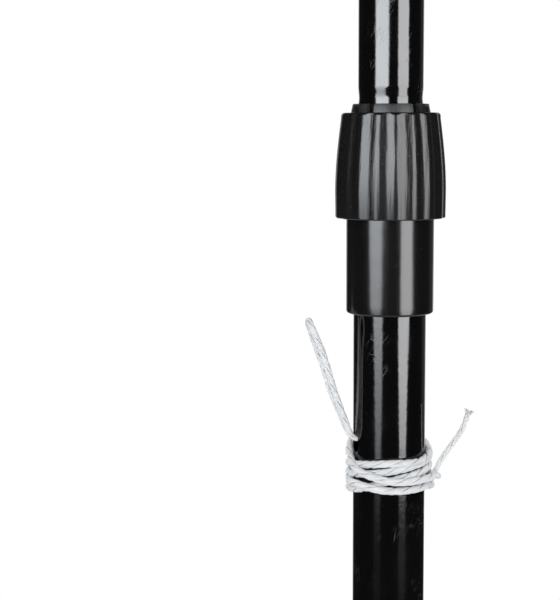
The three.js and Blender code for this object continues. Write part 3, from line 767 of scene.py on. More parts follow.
@dataclass(frozen=True)
class ZincPlate(Finish):
    """Bright zinc plate, clouded and lightly stained."""

    name: str = "zinc_plate"
    colour: Colour = (0.66, 0.67, 0.68)
    roughness: float = 0.3
    slot: Slot = Slot.ZINC
    stain: Colour = (0.42, 0.4, 0.36)
    mark: float = 0.008 * MM

    def surface(self, graph: Graph) -> dict[str, Any]:
        """Passivation clouds and fine tool marks."""
        place = graph.millimetres()
        cloud = graph.noise(place, scale=0.35, detail=4.0, roughness=0.6)
        marks = graph.noise(graph.millimetres((1.0, 1.0, 8.0)), scale=1.8, detail=3.0)
        colour = graph.mixed(cloud.between(0.45, 0.75) * 0.5, self.colour, self.stain)
        rough = self.roughness + 0.15 * cloud
        normal = graph.bump(marks, self.mark)
        return {"Base Color": colour, "Roughness": rough, "Metallic": 1.0, "Normal": normal}


@dataclass(frozen=True)
class Nylon(Finish):
    """Natural nylon, slightly see-through and rubbed grey where it slides."""

    name: str = "natural_nylon"
    colour: Colour = (0.7, 0.68, 0.61)
    roughness: float = 0.42
    slot: Slot = Slot.NYLON
    worn: Colour = (0.35, 0.34, 0.32)
    grain: float = 0.01 * MM

    def surface(self, graph: Graph) -> dict[str, Any]:
        """Grey rubbing over a fine grain."""
        lengthwise = graph.millimetres((1.0, 1.0, 0.15))
        rubbed = graph.noise(lengthwise, scale=0.9, detail=3.0).between(0.5, 0.75)
        colour = graph.mixed(rubbed * 0.4, self.colour, self.worn)
        normal = graph.bump(graph.noise(graph.millimetres(), scale=2.0), self.grain)
        return {"Base Color": colour, "Roughness": self.roughness + 0.1 * rubbed, "Normal": normal}


@dataclass(frozen=True)
class Sand(Finish):
    """Dry sand of mixed grains."""

    name: str = "dry_sand"
    colour: Colour = (0.5, 0.38, 0.22)
    roughness: float = 0.95
    slot: Slot = Slot.SAND
    pale: Colour = (0.62, 0.52, 0.36)
    grain: float = 0.4 * MM

    def surface(self, graph: Graph) -> dict[str, Any]:
        """Each grain has its own tint and stands up a little."""
        cells = graph.cells(graph.millimetres(), 1.3)
        tint = graph.number("SeparateColor", None, {"Color": cells.outputs["Color"]})
        colour = graph.mixed(tint, self.colour, self.pale)
        height = 1.0 - Socket(graph, cells.outputs["Distance"])
        return {"Base Color": colour, "Normal": graph.bump(height, self.grain)}


@dataclass(frozen=True)
class CordFibre(Finish):
    """Twisted polypropylene cord, white, with painted bluish shade in its folds."""

    name: str = "white_fibre"
    colour: Colour = (0.9, 0.905, 0.91)
    roughness: float = 0.78
    slot: Slot = Slot.CORD
    # Bluish grey that is painted into the white as shade in the folds between fibres and strands.
    shade: Colour = (0.74, 0.765, 0.79)
    fibre: float = 0.05 * MM
    gloss: float = 0.15
    glow: float = 0.4
    glow_depth: float = 1.1 * MM

    def surface(self, graph: Graph) -> dict[str, Any]:
        """Fibres run along the yarns and stand up, and painted bluish shade fills the folds between them.
        """
        laid = graph.node("Attribute", {"attribute_name": FIBRE_PLACE}).outputs["Vector"]
        fibres = graph.noise(laid, scale=3.4, detail=3.0, roughness=0.65)
        strands = graph.noise(laid, scale=1.3)
        soft = graph.noise(graph.millimetres(), scale=0.4)
        # Painted shade: the lower this share, the more of the bluish shade colour is mixed into the white
        # along the fibres and strands.
        unshaded_share = fibres.between(0.34, 0.6) * 0.2 + strands.between(0.36, 0.62) * 0.35 + 0.2 * soft
        colour = graph.mixed(1.0 - unshaded_share, self.colour, self.shade)
        normal = graph.bump(0.6 * fibres + strands, self.fibre)
        return {
            "Base Color": colour,
            "Roughness": self.roughness + 0.15 * soft,
            "Normal": normal,
            "Specular IOR Level": self.gloss,
            "Subsurface Weight": self.glow,
            "Subsurface Radius": WHITE,
            "Subsurface Scale": self.glow_depth,
        }


ENAMEL = Enamel()
CLAMP_PLASTIC = GlossPlastic()
COLLET_PLASTIC = MattPlastic(
    name="collet_moulding",
    colour=(0.014, 0.014, 0.0145),
    roughness=0.33,
    slot=Slot.COLLET,
    worn=(0.06, 0.06, 0.06),
    grain_scale=1.7,
)
NUT_PLASTIC = GlossPlastic(
    name="nut_moulding",
    colour=(0.008, 0.0078, 0.0082),
    roughness=0.22,
    grain=0.003 * MM,
    gloss=0.37,
    furrow=0.16 * MM,
)
MATT_PLASTIC = MattPlastic()
TANK_PLASTIC = TankPlastic()
RUBBER = Rubber()
ZINC = ZincPlate()
NYLON = Nylon()
SAND = Sand()
CORD = CordFibre()


@dataclass
class Piece:
    """A piece of the visual model.

    Args:
        name: Name of the object.
        form: Its mesh in the model's frame.
        finish: Its material.
        body: Body that it rides on.
        nodes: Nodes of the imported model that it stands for.
        crease: Angle in degrees beyond which an edge is sharp.
    """

    name: str
    form: Form
    finish: Finish
    body: Body
    nodes: tuple[str, ...] = ()
    crease: float = 38.0

    def make(self) -> bpy.types.Object:
        """Makes the object, dresses it and puts it on its body.

        Returns:
            The new object.
        """
        mesh = self.form.mesh(self.name)
        mesh.polygons.foreach_set("use_smooth", [True] * len(mesh.polygons))
        mesh.set_sharp_from_angle(angle=math.radians(self.crease))
        piece = bpy.data.objects.new(self.name, mesh)
        bpy.context.scene.collection.objects.link(piece)
        piece.data.materials.append(self.finish.material())
        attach(piece, self.body.value)
        if self.nodes:
            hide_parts(*self.nodes)
        LOG.info("%s: %d faces on %s", self.name, len(mesh.polygons), self.body.value)
        return piece


def dress_node(node: str, finish: Finish) -> bpy.types.Object:
    """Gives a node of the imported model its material.

    Args:
        node: Name of the node.
        finish: Its material.

    Returns:
        The node's object.
    """
    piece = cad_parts[node]
    piece.data.materials.clear()
    piece.data.materials.append(finish.material())
    LOG.info("%s keeps its own form", node)
    return piece


def carved(form: Form, cutters: Iterable[Form]) -> Form:
    """Cuts closed forms out of a closed form.

    Args:
        form: The form that is cut.
        cutters: The forms that are taken away.

    Returns:
        What is left.
    """
    body = bpy.data.objects.new("carving", form.mesh("carving"))
    tool = Form()
    for cutter in cutters:
        tool.add(cutter)
    knife = bpy.data.objects.new("carving_tool", tool.mesh("carving_tool"))
    for each in (body, knife):
        bpy.context.scene.collection.objects.link(each)
    cut = body.modifiers.new("cut", "BOOLEAN")
    cut.operation = "DIFFERENCE"
    cut.solver = "EXACT"
    cut.use_self = True
    cut.object = knife
    bpy.context.view_layer.update()
    shown = body.evaluated_get(bpy.context.evaluated_depsgraph_get())
    mesh = bpy.data.meshes.new_from_object(shown)
    vertices = np.array([tuple(vertex.co) for vertex in mesh.vertices])
    faces = [tuple(face.vertices) for face in mesh.polygons]
    for each in (body, knife):
        data = each.data
        bpy.data.objects.remove(each)
        bpy.data.meshes.remove(data)
    bpy.data.meshes.remove(mesh)
    return Form(vertices, faces)


def block(size: Sequence[float], bevel: float) -> Form:
    """Box round the origin with its edges cut at a slant.

    Args:
        size: Length along each axis.
        bevel: Width of the cut.

    Returns:
        The closed form.
    """
    half = np.array(size, float) / 2
    points: list[Triple] = []
    for signs in np.ndindex(2, 2, 2):
        sign = np.array(signs) * 2 - 1
        for axis in range(3):
            point = (half - bevel) * sign
            point[axis] = half[axis] * sign[axis]
            points.append(tuple(point))
    return hull_of(np.array(points))


def hull_of(points: Array) -> Form:
    """Convex hull of some points, with flat faces kept whole."""
    shell = bmesh.new()
    for point in points:
        shell.verts.new(point)
    bmesh.ops.convex_hull(shell, input=shell.verts)
    bmesh.ops.dissolve_limit(shell, angle_limit=math.radians(1), verts=shell.verts, edges=shell.edges)
    shell.verts.index_update()
    form = Form(
        np.array([tuple(vertex.co) for vertex in shell.verts]),
        [tuple(vertex.index for vertex in face.verts) for face in shell.faces],
    )
    shell.free()
    return form


def cylinder(radius: float, low: float, high: float) -> Profile:
    """Outline of a plain solid cylinder."""
    return [(0.0, low), (radius, low), (radius, high), (0.0, high)]


def threading(radius: float, pitch: float, depth: float) -> Shaping:
    """Cuts a helical thread into the rings of one radius.

    Args:
        radius: Radius of the rings that are cut.
        pitch: Rise of the thread in a turn.
        depth: Depth of the thread.

    Returns:
        The shaping for turned().
    """

    def threaded(reach: float, height: float, angles: Array) -> Sink:
        """Sinks one ring."""
        if abs(reach - radius) > 0.01 * MM:
            return 0.0, 0.0
        turn = (height / pitch - angles / (2 * math.pi)) % 1.0
        return depth * (1.0 - np.abs(2 * turn - 1.0)), 0.0

    return threaded


def around(reach: float, height: float, azimuth: float) -> Matrix:
    """Place at a distance, height and azimuth in degrees, turned to face outwards."""
    turn = Matrix.Rotation(math.radians(azimuth), 4, "Z")
    return turn @ Matrix.Translation((reach, 0.0, height))


def span(node: str) -> Pair:
    """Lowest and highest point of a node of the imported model."""
    low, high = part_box(node)
    return low.z, high.z


@dataclass
class Tubes:
    """The two telescoping tubes with their end fittings."""

    lower_radius: float = 14.0 * MM
    upper_radius: float = 12.4 * MM
    wall: float = 1.0 * MM
    edge: float = 0.3 * MM
    steps: int = 192
    row: float = 4.0 * MM
    crimp_above_clamp: float = 2.1 * MM
    crimp_depth: float = 0.3 * MM
    crimp_reach: Pair = (3.4 * MM, 4.6 * MM)
    crimp_rows: int = 18
    hole_height: float = 710.6 * MM
    hole_azimuth: float = 198.0
    hole_radius: float = 3.15 * MM
    hole_lip: float = 0.22 * MM
    lip_sink_share: float = 0.72
    lip_overhang_share: float = 0.3
    cap_head: float = 14.4 * MM
    cap_corner: float = 4.0 * MM
    cap_notch: Pair = (6.0 * MM, 9.0 * MM)
    cap_spigot: float = 11.1 * MM
    spigot_edge: float = 0.6 * MM
    foot_bore: float = 9.0 * MM

    def lower_tube(self) -> Form:
        """Lower tube with its pair of cord holes and the rolled lips round them."""
        low, high = span("lower_tube")
        outer, inner = self.lower_radius, self.lower_radius - self.wall
        corners = [
            Corner(inner, low),
            Corner(outer, low, self.edge),
            Corner(outer, high, self.edge),
            Corner(inner, high),
        ]
        outline = rounded(corners, closed=True)
        tube = turned(with_rows(outline, low, high, self.row), self.steps)
        drill = turned(cylinder(self.hole_radius, -2 * outer, 2 * outer), 48)
        across = around(0.0, self.hole_height, self.hole_azimuth) @ Matrix.Rotation(math.pi / 2, 4, "Y")
        tube = carved(tube, [drill.placed(across)])
        for azimuth in (self.hole_azimuth, self.hole_azimuth - 180.0):
            tube.add(self.hole_rim(azimuth))
        return tube

    def hole_rim(self, azimuth: float) -> Form:
        """Lip of enamel that runs round a hole in the tube."""
        turns = np.linspace(0.0, 2 * math.pi, 64, endpoint=False)
        reach = self.hole_radius - self.lip_overhang_share * self.hole_lip
        aside = reach * np.cos(turns)
        outer = self.lower_radius - self.lip_sink_share * self.hole_lip
        line = np.stack([np.sqrt(outer**2 - aside**2), aside, reach * np.sin(turns)], axis=1)
        return rod(line, self.hole_lip, 10, closed=True).placed(around(0.0, self.hole_height, azimuth))

    def upper_tube(self) -> Form:
        """Upper tube with the crimped groove above the clamp."""
        low, high = span("upper_tube")
        middle = span("clamp_collet")[1] + self.crimp_above_clamp
        outer, inner = self.upper_radius, self.upper_radius - self.wall
        corners = [
            Corner(inner, low),
            Corner(outer, low, self.edge),
            *self.crimp(middle),
            Corner(outer, high, self.edge),
            Corner(inner, high),
        ]
        outline = rounded(corners, closed=True)
        return turned(with_rows(outline, low, high, self.row), self.steps)

    def crimp(self, middle: float) -> list[Corner]:
        """Soft groove rolled into the upper tube round a height."""
        groove: list[Corner] = []
        for row in range(-self.crimp_rows, self.crimp_rows + 1):
            share = row / self.crimp_rows
            sink = self.crimp_depth * (0.5 + 0.5 * math.cos(math.pi * share))
            groove.append(Corner(self.upper_radius - sink, middle + share * self.crimp_reach[row > 0]))
        return groove

    def top_cap(self) -> Form:
        """End cap with its notch for the head cord."""
        low, high = span("top_cap")
        seat = span("upper_tube")[1] + SEAT_GAP
        corners = [
            Corner(0.0, low),
            Corner(self.cap_spigot, low, self.spigot_edge),
            Corner(self.cap_spigot, seat),
            Corner(self.cap_head, seat, SOFT_EDGE),
            Corner(self.cap_head, high, self.cap_corner),
            Corner(0.0, high),
        ]
        width, depth = self.cap_notch
        slot = block((4 * self.cap_head, width, 2 * depth), MOULDED_EDGE)
        return carved(lathed(corners, 128, rounding=10), [slot.placed(around(0.0, high, 0.0))])

    def foot_cap(self) -> Form:
        """Plastic cap under the lower tube."""
        low, high = span("tube_foot_cap")
        seat = span("lower_tube")[0] - SEAT_GAP
        spigot = self.lower_radius - self.wall - SEAT_GAP
        corners = [
            Corner(0.0, low),
            Corner(self.lower_radius, low, MOULDED_EDGE),
            Corner(self.lower_radius, seat, FINE_EDGE),
            Corner(spigot, seat),
            Corner(spigot, high, SOFT_EDGE),
            Corner(self.foot_bore, high, CRISP_EDGE),
            Corner(self.foot_bore, seat),
            Corner(0.0, seat),
        ]
        return lathed(corners, 96)

    def build(self) -> None:
        """Makes both tubes and their fittings."""
        crease = 30.0
        lower, upper = self.lower_tube(), self.upper_tube()
        Piece("enamelled_lower_tube", lower, ENAMEL, Body.POST, ("lower_tube",), crease).make()
        Piece("enamelled_upper_tube", upper, ENAMEL, Body.EXTENSION, ("upper_tube",), crease).make()
        Piece("notched_top_cap", self.top_cap(), CLAMP_PLASTIC, Body.EXTENSION, ("top_cap",)).make()
        Piece("foot_plug", self.foot_cap(), MATT_PLASTIC, Body.POST, ("tube_foot_cap",)).make()
        dress_node("guide_plug", NYLON)


@dataclass
class TwistClamp:
    """Sleeve, collet and fluted nut that grip the upper tube."""

    sleeve_radius: float = 16.8 * MM
    neck_radius: float = 16.5 * MM
    sleeve_edge: float = 0.9 * MM
    sleeve_row: float = 3.0 * MM
    neck_rise: float = 3.5 * MM
    bore: float = 14.3 * MM
    run: float = 12.7 * MM
    collet_top: float = 14.4 * MM
    collet_middle: float = 15.1 * MM
    collet_root: float = 16.4 * MM
    collet_rise: float = 3.3 * MM
    collet_ring: float = 4.0 * MM
    slot_length: float = 14.0 * MM
    slot_reach: float = 15.4 * MM
    slot_overrun: float = 6.0 * MM
    slot_bevel: float = 0.05 * MM
    cone_gap: float = 0.3 * MM
    cone_edge: float = 0.15 * MM
    flutes: int = 18
    flute_depth: float = 0.55 * MM
    flute_azimuth: float = -88.3
    nut_top_radius: float = 18.8 * MM
    nut_top_corner: float = 1.3 * MM
    nut_belly_radius: float = 21.16 * MM
    nut_belly_drop: float = 30.0 * MM
    nut_foot_radius: float = 21.05 * MM
    flute_fade: Pair = (0.0, 0.9 * MM)
    flank_rows: int = 26
    steps_per_flute: int = 24
    thread_bore: float = 17.1 * MM
    face_azimuth: float = -89.95
    slot_width: float = 3.0 * MM
    slot_angles: Pair = (35.3, 64.2)
    seam_width: float = 0.22 * MM
    seam_proud: float = 0.06 * MM
    seam_sink: float = 0.02 * MM
    steps: int = 180

    @property
    def cone_drop(self) -> float:
        """Length of the collet's cone below the nut's top, at the slope that it has above."""
        slope = (self.collet_middle - self.collet_top) / self.collet_rise
        return (self.collet_root - self.collet_middle) / slope

    def sleeve(self) -> Form:
        """Smooth sleeve and the threaded neck above it."""
        low, high = span("clamp_body")
        shoulder = span("lower_tube")[1] + SEAT_GAP
        shoulder_top = span("clamp_nut")[0] + self.neck_rise
        corners = [
            Corner(self.bore, low, CRISP_EDGE),
            Corner(self.sleeve_radius, low, self.sleeve_edge),
            Corner(self.sleeve_radius, shoulder_top, FINE_EDGE),
            Corner(self.neck_radius, shoulder_top),
            Corner(self.neck_radius, high, EASED_EDGE),
            Corner(self.run, high, FINE_EDGE),
            Corner(self.run, shoulder),
            Corner(self.bore, shoulder),
        ]
        outline = rounded(corners, closed=True, steps=8)
        return turned(with_rows(outline, low, high, self.sleeve_row), self.steps)

    def nut_flank(self) -> list[Corner]:
        """Barrel outline of the nut from its belly up to its top corner."""
        top = span("clamp_nut")[1]
        belly = top - self.nut_belly_drop
        rise = self.nut_belly_drop - self.nut_top_corner
        swell = self.nut_belly_radius - self.nut_top_radius
        flank: list[Corner] = []
        for row in range(self.flank_rows):
            share = row / self.flank_rows
            reach = self.nut_top_radius + swell * math.cos(share * math.pi / 2)
            flank.append(Corner(reach, belly + share * rise))
        return flank

    def fluted(self, reach: float, height: float, angles: Array) -> Sink:
        """Sinks the flutes into the nut's outside.

        Args:
            reach: Distance of a ring from the axis.
            height: Its height.
            angles: Angles of its points.

        Returns:
            How far its points sink in and down.
        """
        if reach < self.nut_top_radius - 2 * self.nut_top_corner:
            return 0.0, 0.0
        top = span("clamp_nut")[1]
        fade = eased(top - height, *self.flute_fade)
        wave = 1.0 - np.cos(self.flutes * (angles - math.radians(self.flute_azimuth)))
        return self.flute_depth / 2 * wave * fade, 0.0

    def nut(self) -> Form:
        """Fluted nut with its cone and threaded bore."""
        low, top = span("clamp_nut")
        cone_foot = top - self.cone_drop
        corners = [
            Corner(self.thread_bore, low, CRISP_EDGE),
            Corner(self.nut_foot_radius, low, SOFT_EDGE),
            *self.nut_flank(),
            Corner(self.nut_top_radius, top, self.nut_top_corner),
            Corner(self.collet_middle + self.cone_gap, top, self.cone_edge),
            Corner(self.collet_root + self.cone_gap, cone_foot),
            Corner(self.thread_bore, cone_foot - self.thread_bore + self.collet_root + self.cone_gap),
        ]
        outline = rounded(corners, closed=True, steps=8)
        return turned(outline, self.flutes * self.steps_per_flute, self.fluted)

    def collet(self) -> Form:
        """Slotted collet that stands a little out of the nut."""
        low, high = span("clamp_collet")
        top = span("clamp_nut")[1]
        corners = [
            Corner(self.run, low),
            Corner(self.collet_root, low),
            Corner(self.collet_root, top - self.cone_drop),
            Corner(self.collet_middle, top),
            Corner(self.collet_top, high, EASED_EDGE),
            Corner(self.run, high, self.cone_edge),
        ]
        slot_foot, slot_high = low + self.collet_ring, high + self.slot_overrun
        slot = block((self.slot_length, self.slot_width, slot_high - slot_foot), self.slot_bevel)
        middle = (slot_foot + slot_high) / 2
        faces = (self.face_azimuth, self.face_azimuth + 180.0)
        slots = [
            slot.placed(around(self.slot_reach, middle, face + side * angle))
            for face in faces
            for angle in self.slot_angles
            for side in (-1, 1)
        ]
        lugs = carved(lathed(corners, 144, closed=True, rounding=4), slots)
        for face in faces:
            lugs.add(self.seam(high, top).placed(around(0.0, 0.0, face)))
        return lugs

    def seam(self, high: float, top: float) -> Form:
        """Thin flash line of the mould down the middle of a lug."""
        route = [
            (self.run + 0.5 * MM, 0.0, high - self.seam_sink),
            (self.collet_top - 0.4 * MM, 0.0, high - self.seam_sink),
            (self.collet_top + self.seam_proud, 0.0, high - 0.5 * MM),
            (self.collet_middle - 0.1 * MM + self.seam_proud, 0.0, top + 0.1 * MM),
        ]
        return rod(smooth_path(route, 0.3 * MM), self.seam_width / 2, 8)

    def build(self) -> None:
        """Makes the clamp's three parts."""
        Piece("clamp_sleeve", self.sleeve(), CLAMP_PLASTIC, Body.POST, ("clamp_body",)).make()
        Piece("slotted_collet", self.collet(), COLLET_PLASTIC, Body.COLLET, ("clamp_collet",)).make()
        Piece("fluted_nut", self.nut(), NUT_PLASTIC, Body.NUT, ("clamp_nut",), 45.0).make()


@dataclass(frozen=True)
class Strand:
    """One strand of the lashing.

    Args:
        turn: 1 counter-clockwise from above, or -1 clockwise.
        exit_height: Height at which it leaves the hole, in millimetres.
        heights: Heights at each eighth of a turn, in millimetres.
        end: Angle in degrees where it stops.
        lifts: Stretches that cross over other turns, as angles in degrees: where the rise
            starts, where it is complete, where the fall starts and where it is complete.
    """

    turn: int
    exit_height: float
    heights: tuple[float, ...]
    end: float
    lifts: tuple[tuple[float, float, float, float], ...] = ()


FIRST_STRAND = Strand(
    turn=-1,
    exit_height=707.9,
    heights=(
        706.9, 705.3, 705.5, 704.2, 702.5, 702.6, 703.3, 704.5,
        705.3, 704.5, 702.5, 700.5, 698.8, 699.2, 700.0, 701.1,
        702.1, 701.0, 698.9, 694.9, 692.9, 692.7, 692.8, 692.7, 692.4,
    ),
    end=1068.0,
)
SECOND_STRAND = Strand(
    turn=1,
    exit_height=709.0,
    heights=(
        709.4, 710.1, 711.2, 712.4, 706.9, 702.5, 699.1, 699.0,
        698.6, 697.6, 697.0, 697.0, 696.5, 697.2, 695.0, 694.9, 695.2,
    ),
    end=708.0,
    lifts=((192.0, 232.0, 332.0, 360.0), (546.0, 578.0, 606.0, 640.0)),
)

LOOP_ROUTE = (
    (-12.1, -5.22, 713.1), (-14.2, -6.0, 713.7), (-15.6, -6.4, 715.7),
    (-17.7, -6.4, 721.2), (-21.3, -6.3, 731.2), (-24.2, -6.1, 740.9),
    (-26.5, -6.8, 748.2), (-28.5, -8.3, 753.0), (-30.3, -7.4, 757.2),
    (-31.2, -4.0, 758.9), (-31.3, -0.6, 757.2), (-30.0, 0.5, 753.0),
    (-28.3, -1.4, 748.2), (-25.7, -3.0, 740.9), (-22.7, -3.4, 731.2),
    (-18.5, -3.6, 721.2), (-16.2, -3.5, 715.7), (-14.5, -3.2, 713.7),
    (-12.95, -2.44, 713.1),
)

TAIL_ROUTE = (
    (15.3, -0.5, 694.6), (17.42, 0.0, 697.5), (18.07, 0.3, 698.5),
    (20.09, 1.2, 702.3), (22.3, 1.9, 705.5), (25.2, 2.9, 709.3),
    (28.1, 4.0, 713.0), (29.7, 4.7, 715.9), (30.8, 5.2, 718.8),
    (31.5, 5.5, 720.8),
)

KNOT_CURL = (
    (17.4, -0.6, 697.4), (18.4, -1.2, 698.3), (19.3, -1.6, 698.3),
    (19.9, -1.7, 697.6), (19.6, -1.7, 696.8), (18.8, -1.5, 696.6),
    (18.4, -1.4, 697.2),
)


@dataclass
class TieCord:
    """White two-ply cord: its free loop, its lashing, its knot and its frayed tail."""

    diameter: float = 2.4 * MM
    winding_fullness: float = 1.14
    tail_fullness: float = 0.82
    knot_fullness: float = 0.88
    curl_fullness: float = 0.4
    winding_phase: float = 0.4
    curl_phase: float = 0.7
    lay: float = 13.4 * MM
    plies: int = 2
    ply_offset: float = 0.42
    ply_out: float = 0.62
    ply_side: float = 0.94
    ply_squareness: float = 2.5
    yarns: int = 7
    yarn_sides: int = 4
    yarn_depth: float = 0.09 * MM
    yarn_lay: float = 9.0 * MM
    fibre_stretch: float = 0.09
    spacing: float = 0.4 * MM
    winding_radius: float = 15.5
    winding_layer: float = 2.9
    exit_bulge: float = 0.25
    exit_azimuth: float = 17.0
    exit_turn: float = 4.5
    wall_reach: float = 13.1
    steps_per_turn: int = 24
    first_step_share: float = 0.8
    knot_scale: Triple = (1.15, 0.62, 0.92)
    knot_place: Triple = (16.1, 0.0, 695.2)
    fray_reach: float = 0.55
    fray_yarns: int = 34
    fray_length: float = 2.2
    fray_flare: float = 0.7
    fray_overlap: float = 1.2 * MM
    fray_radius: float = 0.16 * MM
    hole_pinch: float = 0.2
    pinch_reach: float = 5.0 * MM
    crease: float = 60.0

    def cord_form(self, line: Array, radius: float | Array, phase: float = 0.0) -> Form:
        """Twists plies left-handed round a centre line, each with a flat side on the line.

        Args:
            line: Evenly spaced points of the centre line.
            radius: Radius of the cord, one for all or one for each point.
            phase: Angle that the first ply starts from.

        Returns:
            All plies as one form.
        """
        _, across, other = frames_along(line)
        count = len(line)
        along = np.arange(count) * np.linalg.norm(line[1] - line[0])
        size = (np.ones(count) * radius)[:, None]
        form = Form()
        sides = self.yarns * self.yarn_sides
        angles = (np.arange(sides) * 2 * math.pi / sides)[None, :] + np.zeros((count, 1))
        cosine, sine = np.cos(angles), np.sin(angles)
        outside = np.hypot(cosine / self.ply_out, sine / self.ply_side) ** -1.0
        power = self.ply_squareness
        flat = np.abs(cosine / self.ply_offset) ** power + np.abs(sine / self.ply_side) ** power
        reach = np.where(cosine >= 0.0, outside, flat ** (-1.0 / power)) * size
        for ply in range(self.plies):
            turn = phase - 2 * math.pi * (along / self.lay + ply / self.plies)
            out = np.cos(turn)[:, None] * across + np.sin(turn)[:, None] * other
            beside = -np.sin(turn)[:, None] * across + np.cos(turn)[:, None] * other
            centre = line + out * size * self.ply_offset
            run = angles - (2 * math.pi * along / self.yarn_lay)[:, None]
            far = reach - self.yarn_depth * (0.5 - 0.5 * np.cos(self.yarns * run))
            points = (
                centre[:, None, :]
                + (far * cosine)[:, :, None] * out[:, None, :]
                + (far * sine)[:, :, None] * beside[:, None, :]
            ).reshape(-1, 3)
            down = (along * self.fibre_stretch / MM + 20.0 * ply)[:, None] + 0.0 * run
            laid = np.stack([far / MM * np.cos(run), far / MM * np.sin(run), down], axis=2).reshape(-1, 3)
            faces = ring_faces(count, sides)
            faces.append(tuple(reversed(range(sides))))
            faces.append(tuple((count - 1) * sides + side for side in range(sides)))
            form.add(Form(points, faces, laid))
        return form

    def winding_line(self, strand: Strand) -> Array:
        """Centre line of a strand of the lashing, in metres.

        Args:
            strand: The strand.

        Returns:
            Evenly spaced points, from the hole to the knot.
        """
        eighth = 45.0
        heights = smooth_heights(strand.heights)
        bulge = self.winding_radius + self.exit_bulge
        points = [
            polar(self.wall_reach, self.exit_azimuth, strand.exit_height),
            polar(self.wall_reach + self.diameter / MM, self.exit_azimuth, strand.exit_height),
            polar(bulge, self.exit_azimuth + self.exit_turn * strand.turn, strand.exit_height),
        ]
        step = 360.0 / self.steps_per_turn
        first = strand.turn * self.exit_azimuth + self.first_step_share * step
        turned_by = first
        while turned_by < strand.end + step / 2:
            along = min(turned_by, strand.end)
            height = heights(along / eighth)
            lift = sum(
                eased(along, start, full) * (1.0 - eased(along, until, gone))
                for start, full, until, gone in strand.lifts
            )
            settle = 1.0 - eased(along, first, first + 2 * step)
            radius = self.winding_radius + self.winding_layer * lift + self.exit_bulge * settle
            points.append(polar(radius, strand.turn * along, height))
            turned_by += step
        return smooth_path(np.array(points) * MM, self.spacing)

    def knot_form(self) -> Form:
        """Overhand knot on the side of the tube, with the short end that curls out of it."""
        turns = np.linspace(0.0, 2 * math.pi, 121)[:-1]
        lump = np.stack(
            [
                0.72 * np.sin(3 * turns),
                np.sin(turns) + 1.6 * np.sin(2 * turns),
                np.cos(turns) - 1.6 * np.cos(2 * turns),
            ],
            axis=1,
        )
        lump *= np.array(self.knot_scale) * MM
        lump += np.array(self.knot_place) * MM
        loop = smooth_path(np.vstack([lump, lump[:1]]), self.spacing)
        knot = self.cord_form(loop, self.knot_fullness * self.diameter / 2)
        curl = smooth_path(np.array(KNOT_CURL) * MM, self.spacing)
        return knot.add(self.cord_form(curl, self.curl_fullness * self.diameter / 2, self.curl_phase))

    def frayed_end(self, line: Array) -> Form:
        """Yarns that spread from the cut end of the tail.

        Args:
            line: Centre line of the tail.

        Returns:
            The loose yarns.
        """
        chance = random.Random(SEED)
        tip, back = Vector(line[-1]), Vector(line[-1] - line[-6]).normalized()
        side = back.cross(Vector((0.0, 1.0, 0.0))).normalized()
        depth = back.cross(side).normalized()
        tuft = Form()
        for index in range(self.fray_yarns):
            lean = 2.0 * index / (self.fray_yarns - 1) - 1.0
            tilt = chance.uniform(-0.3, 0.3)
            start = tip - back * self.fray_overlap + (side * lean * self.fray_reach + depth * tilt) * MM
            way = (back + side * (0.5 * lean + chance.uniform(-0.1, 0.1)) + depth * tilt).normalized()
            long = (self.fray_length + self.fray_flare * lean * lean + chance.uniform(0.0, 0.4)) * MM
            bend = depth * chance.uniform(-0.2, 0.2) * MM + side * chance.uniform(-0.12, 0.12) * MM
            points = [tuple(start), tuple(start + way * long / 2 + bend), tuple(start + way * long)]
            tuft.add(rod(smooth_path(points, self.spacing), self.fray_radius, 6))
        return tuft

    def build(self) -> None:
        radius = self.diameter / 2
        loop_line = smooth_path(np.array(LOOP_ROUTE) * MM, self.spacing)
        from_end = np.minimum(np.arange(len(loop_line)), np.arange(len(loop_line))[::-1]) * self.spacing
        pinched = radius * (1.0 - self.hole_pinch * np.exp(-((from_end / self.pinch_reach) ** 2)))
        loop = self.cord_piece("tie_loop", self.cord_form(loop_line, pinched), "cord_loop")
        for name, node, strand in (
            ("lashing_under", "lashing_first_strand", FIRST_STRAND),
            ("lashing_over", "lashing_second_strand", SECOND_STRAND),
        ):
            line = self.winding_line(strand)
            form = self.cord_form(line, self.winding_fullness * radius, self.winding_phase)
            self.cord_piece(name, form, node)
        self.cord_piece("lashing_knot", self.knot_form(), "cord_knot")
        tail_line = smooth_path(np.array(TAIL_ROUTE) * MM, self.spacing)
        tail_form = self.cord_form(tail_line, self.tail_fullness * radius).add(self.frayed_end(tail_line))
        tail = self.cord_piece("tie_tail", tail_form, "cord_tail")

    def cord_piece(self, name: str, form: Form, node: str) -> bpy.types.Object:
        """Makes one of the cord's pieces."""
        return Piece(name, form, CORD, Body.POST, (node,), self.crease).make()


def polar(reach: float, azimuth: float, height: float) -> Triple:
    """Point at a distance from the axis, an azimuth in degrees and a height."""
    angle = math.radians(azimuth)
    return (reach * math.cos(angle), reach * math.sin(angle), height)


def smooth_heights(heights: Sequence[float]) -> Callable[[float], float]:
    """Curve through heights that are one step apart.

    Args:
        heights: Heights at 0, 1, 2 and so on.

    Returns:
        Function from a place to the curve's height, held to the two ends.
    """

    def height_at(place: float) -> float:
        """Height of the curve at a place."""
        held = min(max(place, 0.0), len(heights) - 1.0)
        index = min(int(held), len(heights) - 2)
        share = held - index
        before = heights[max(index - 1, 0)]
        low, high = heights[index], heights[index + 1]
        after = heights[min(index + 2, len(heights) - 1)]
        leaving, arriving = (high - before) / 2, (after - low) / 2
        cubic = (2 * low - 2 * high + leaving + arriving) * share**3
        square = (-3 * low + 3 * high - 2 * leaving - arriving) * share**2
        return cubic + square + leaving * share + low

    return height_at


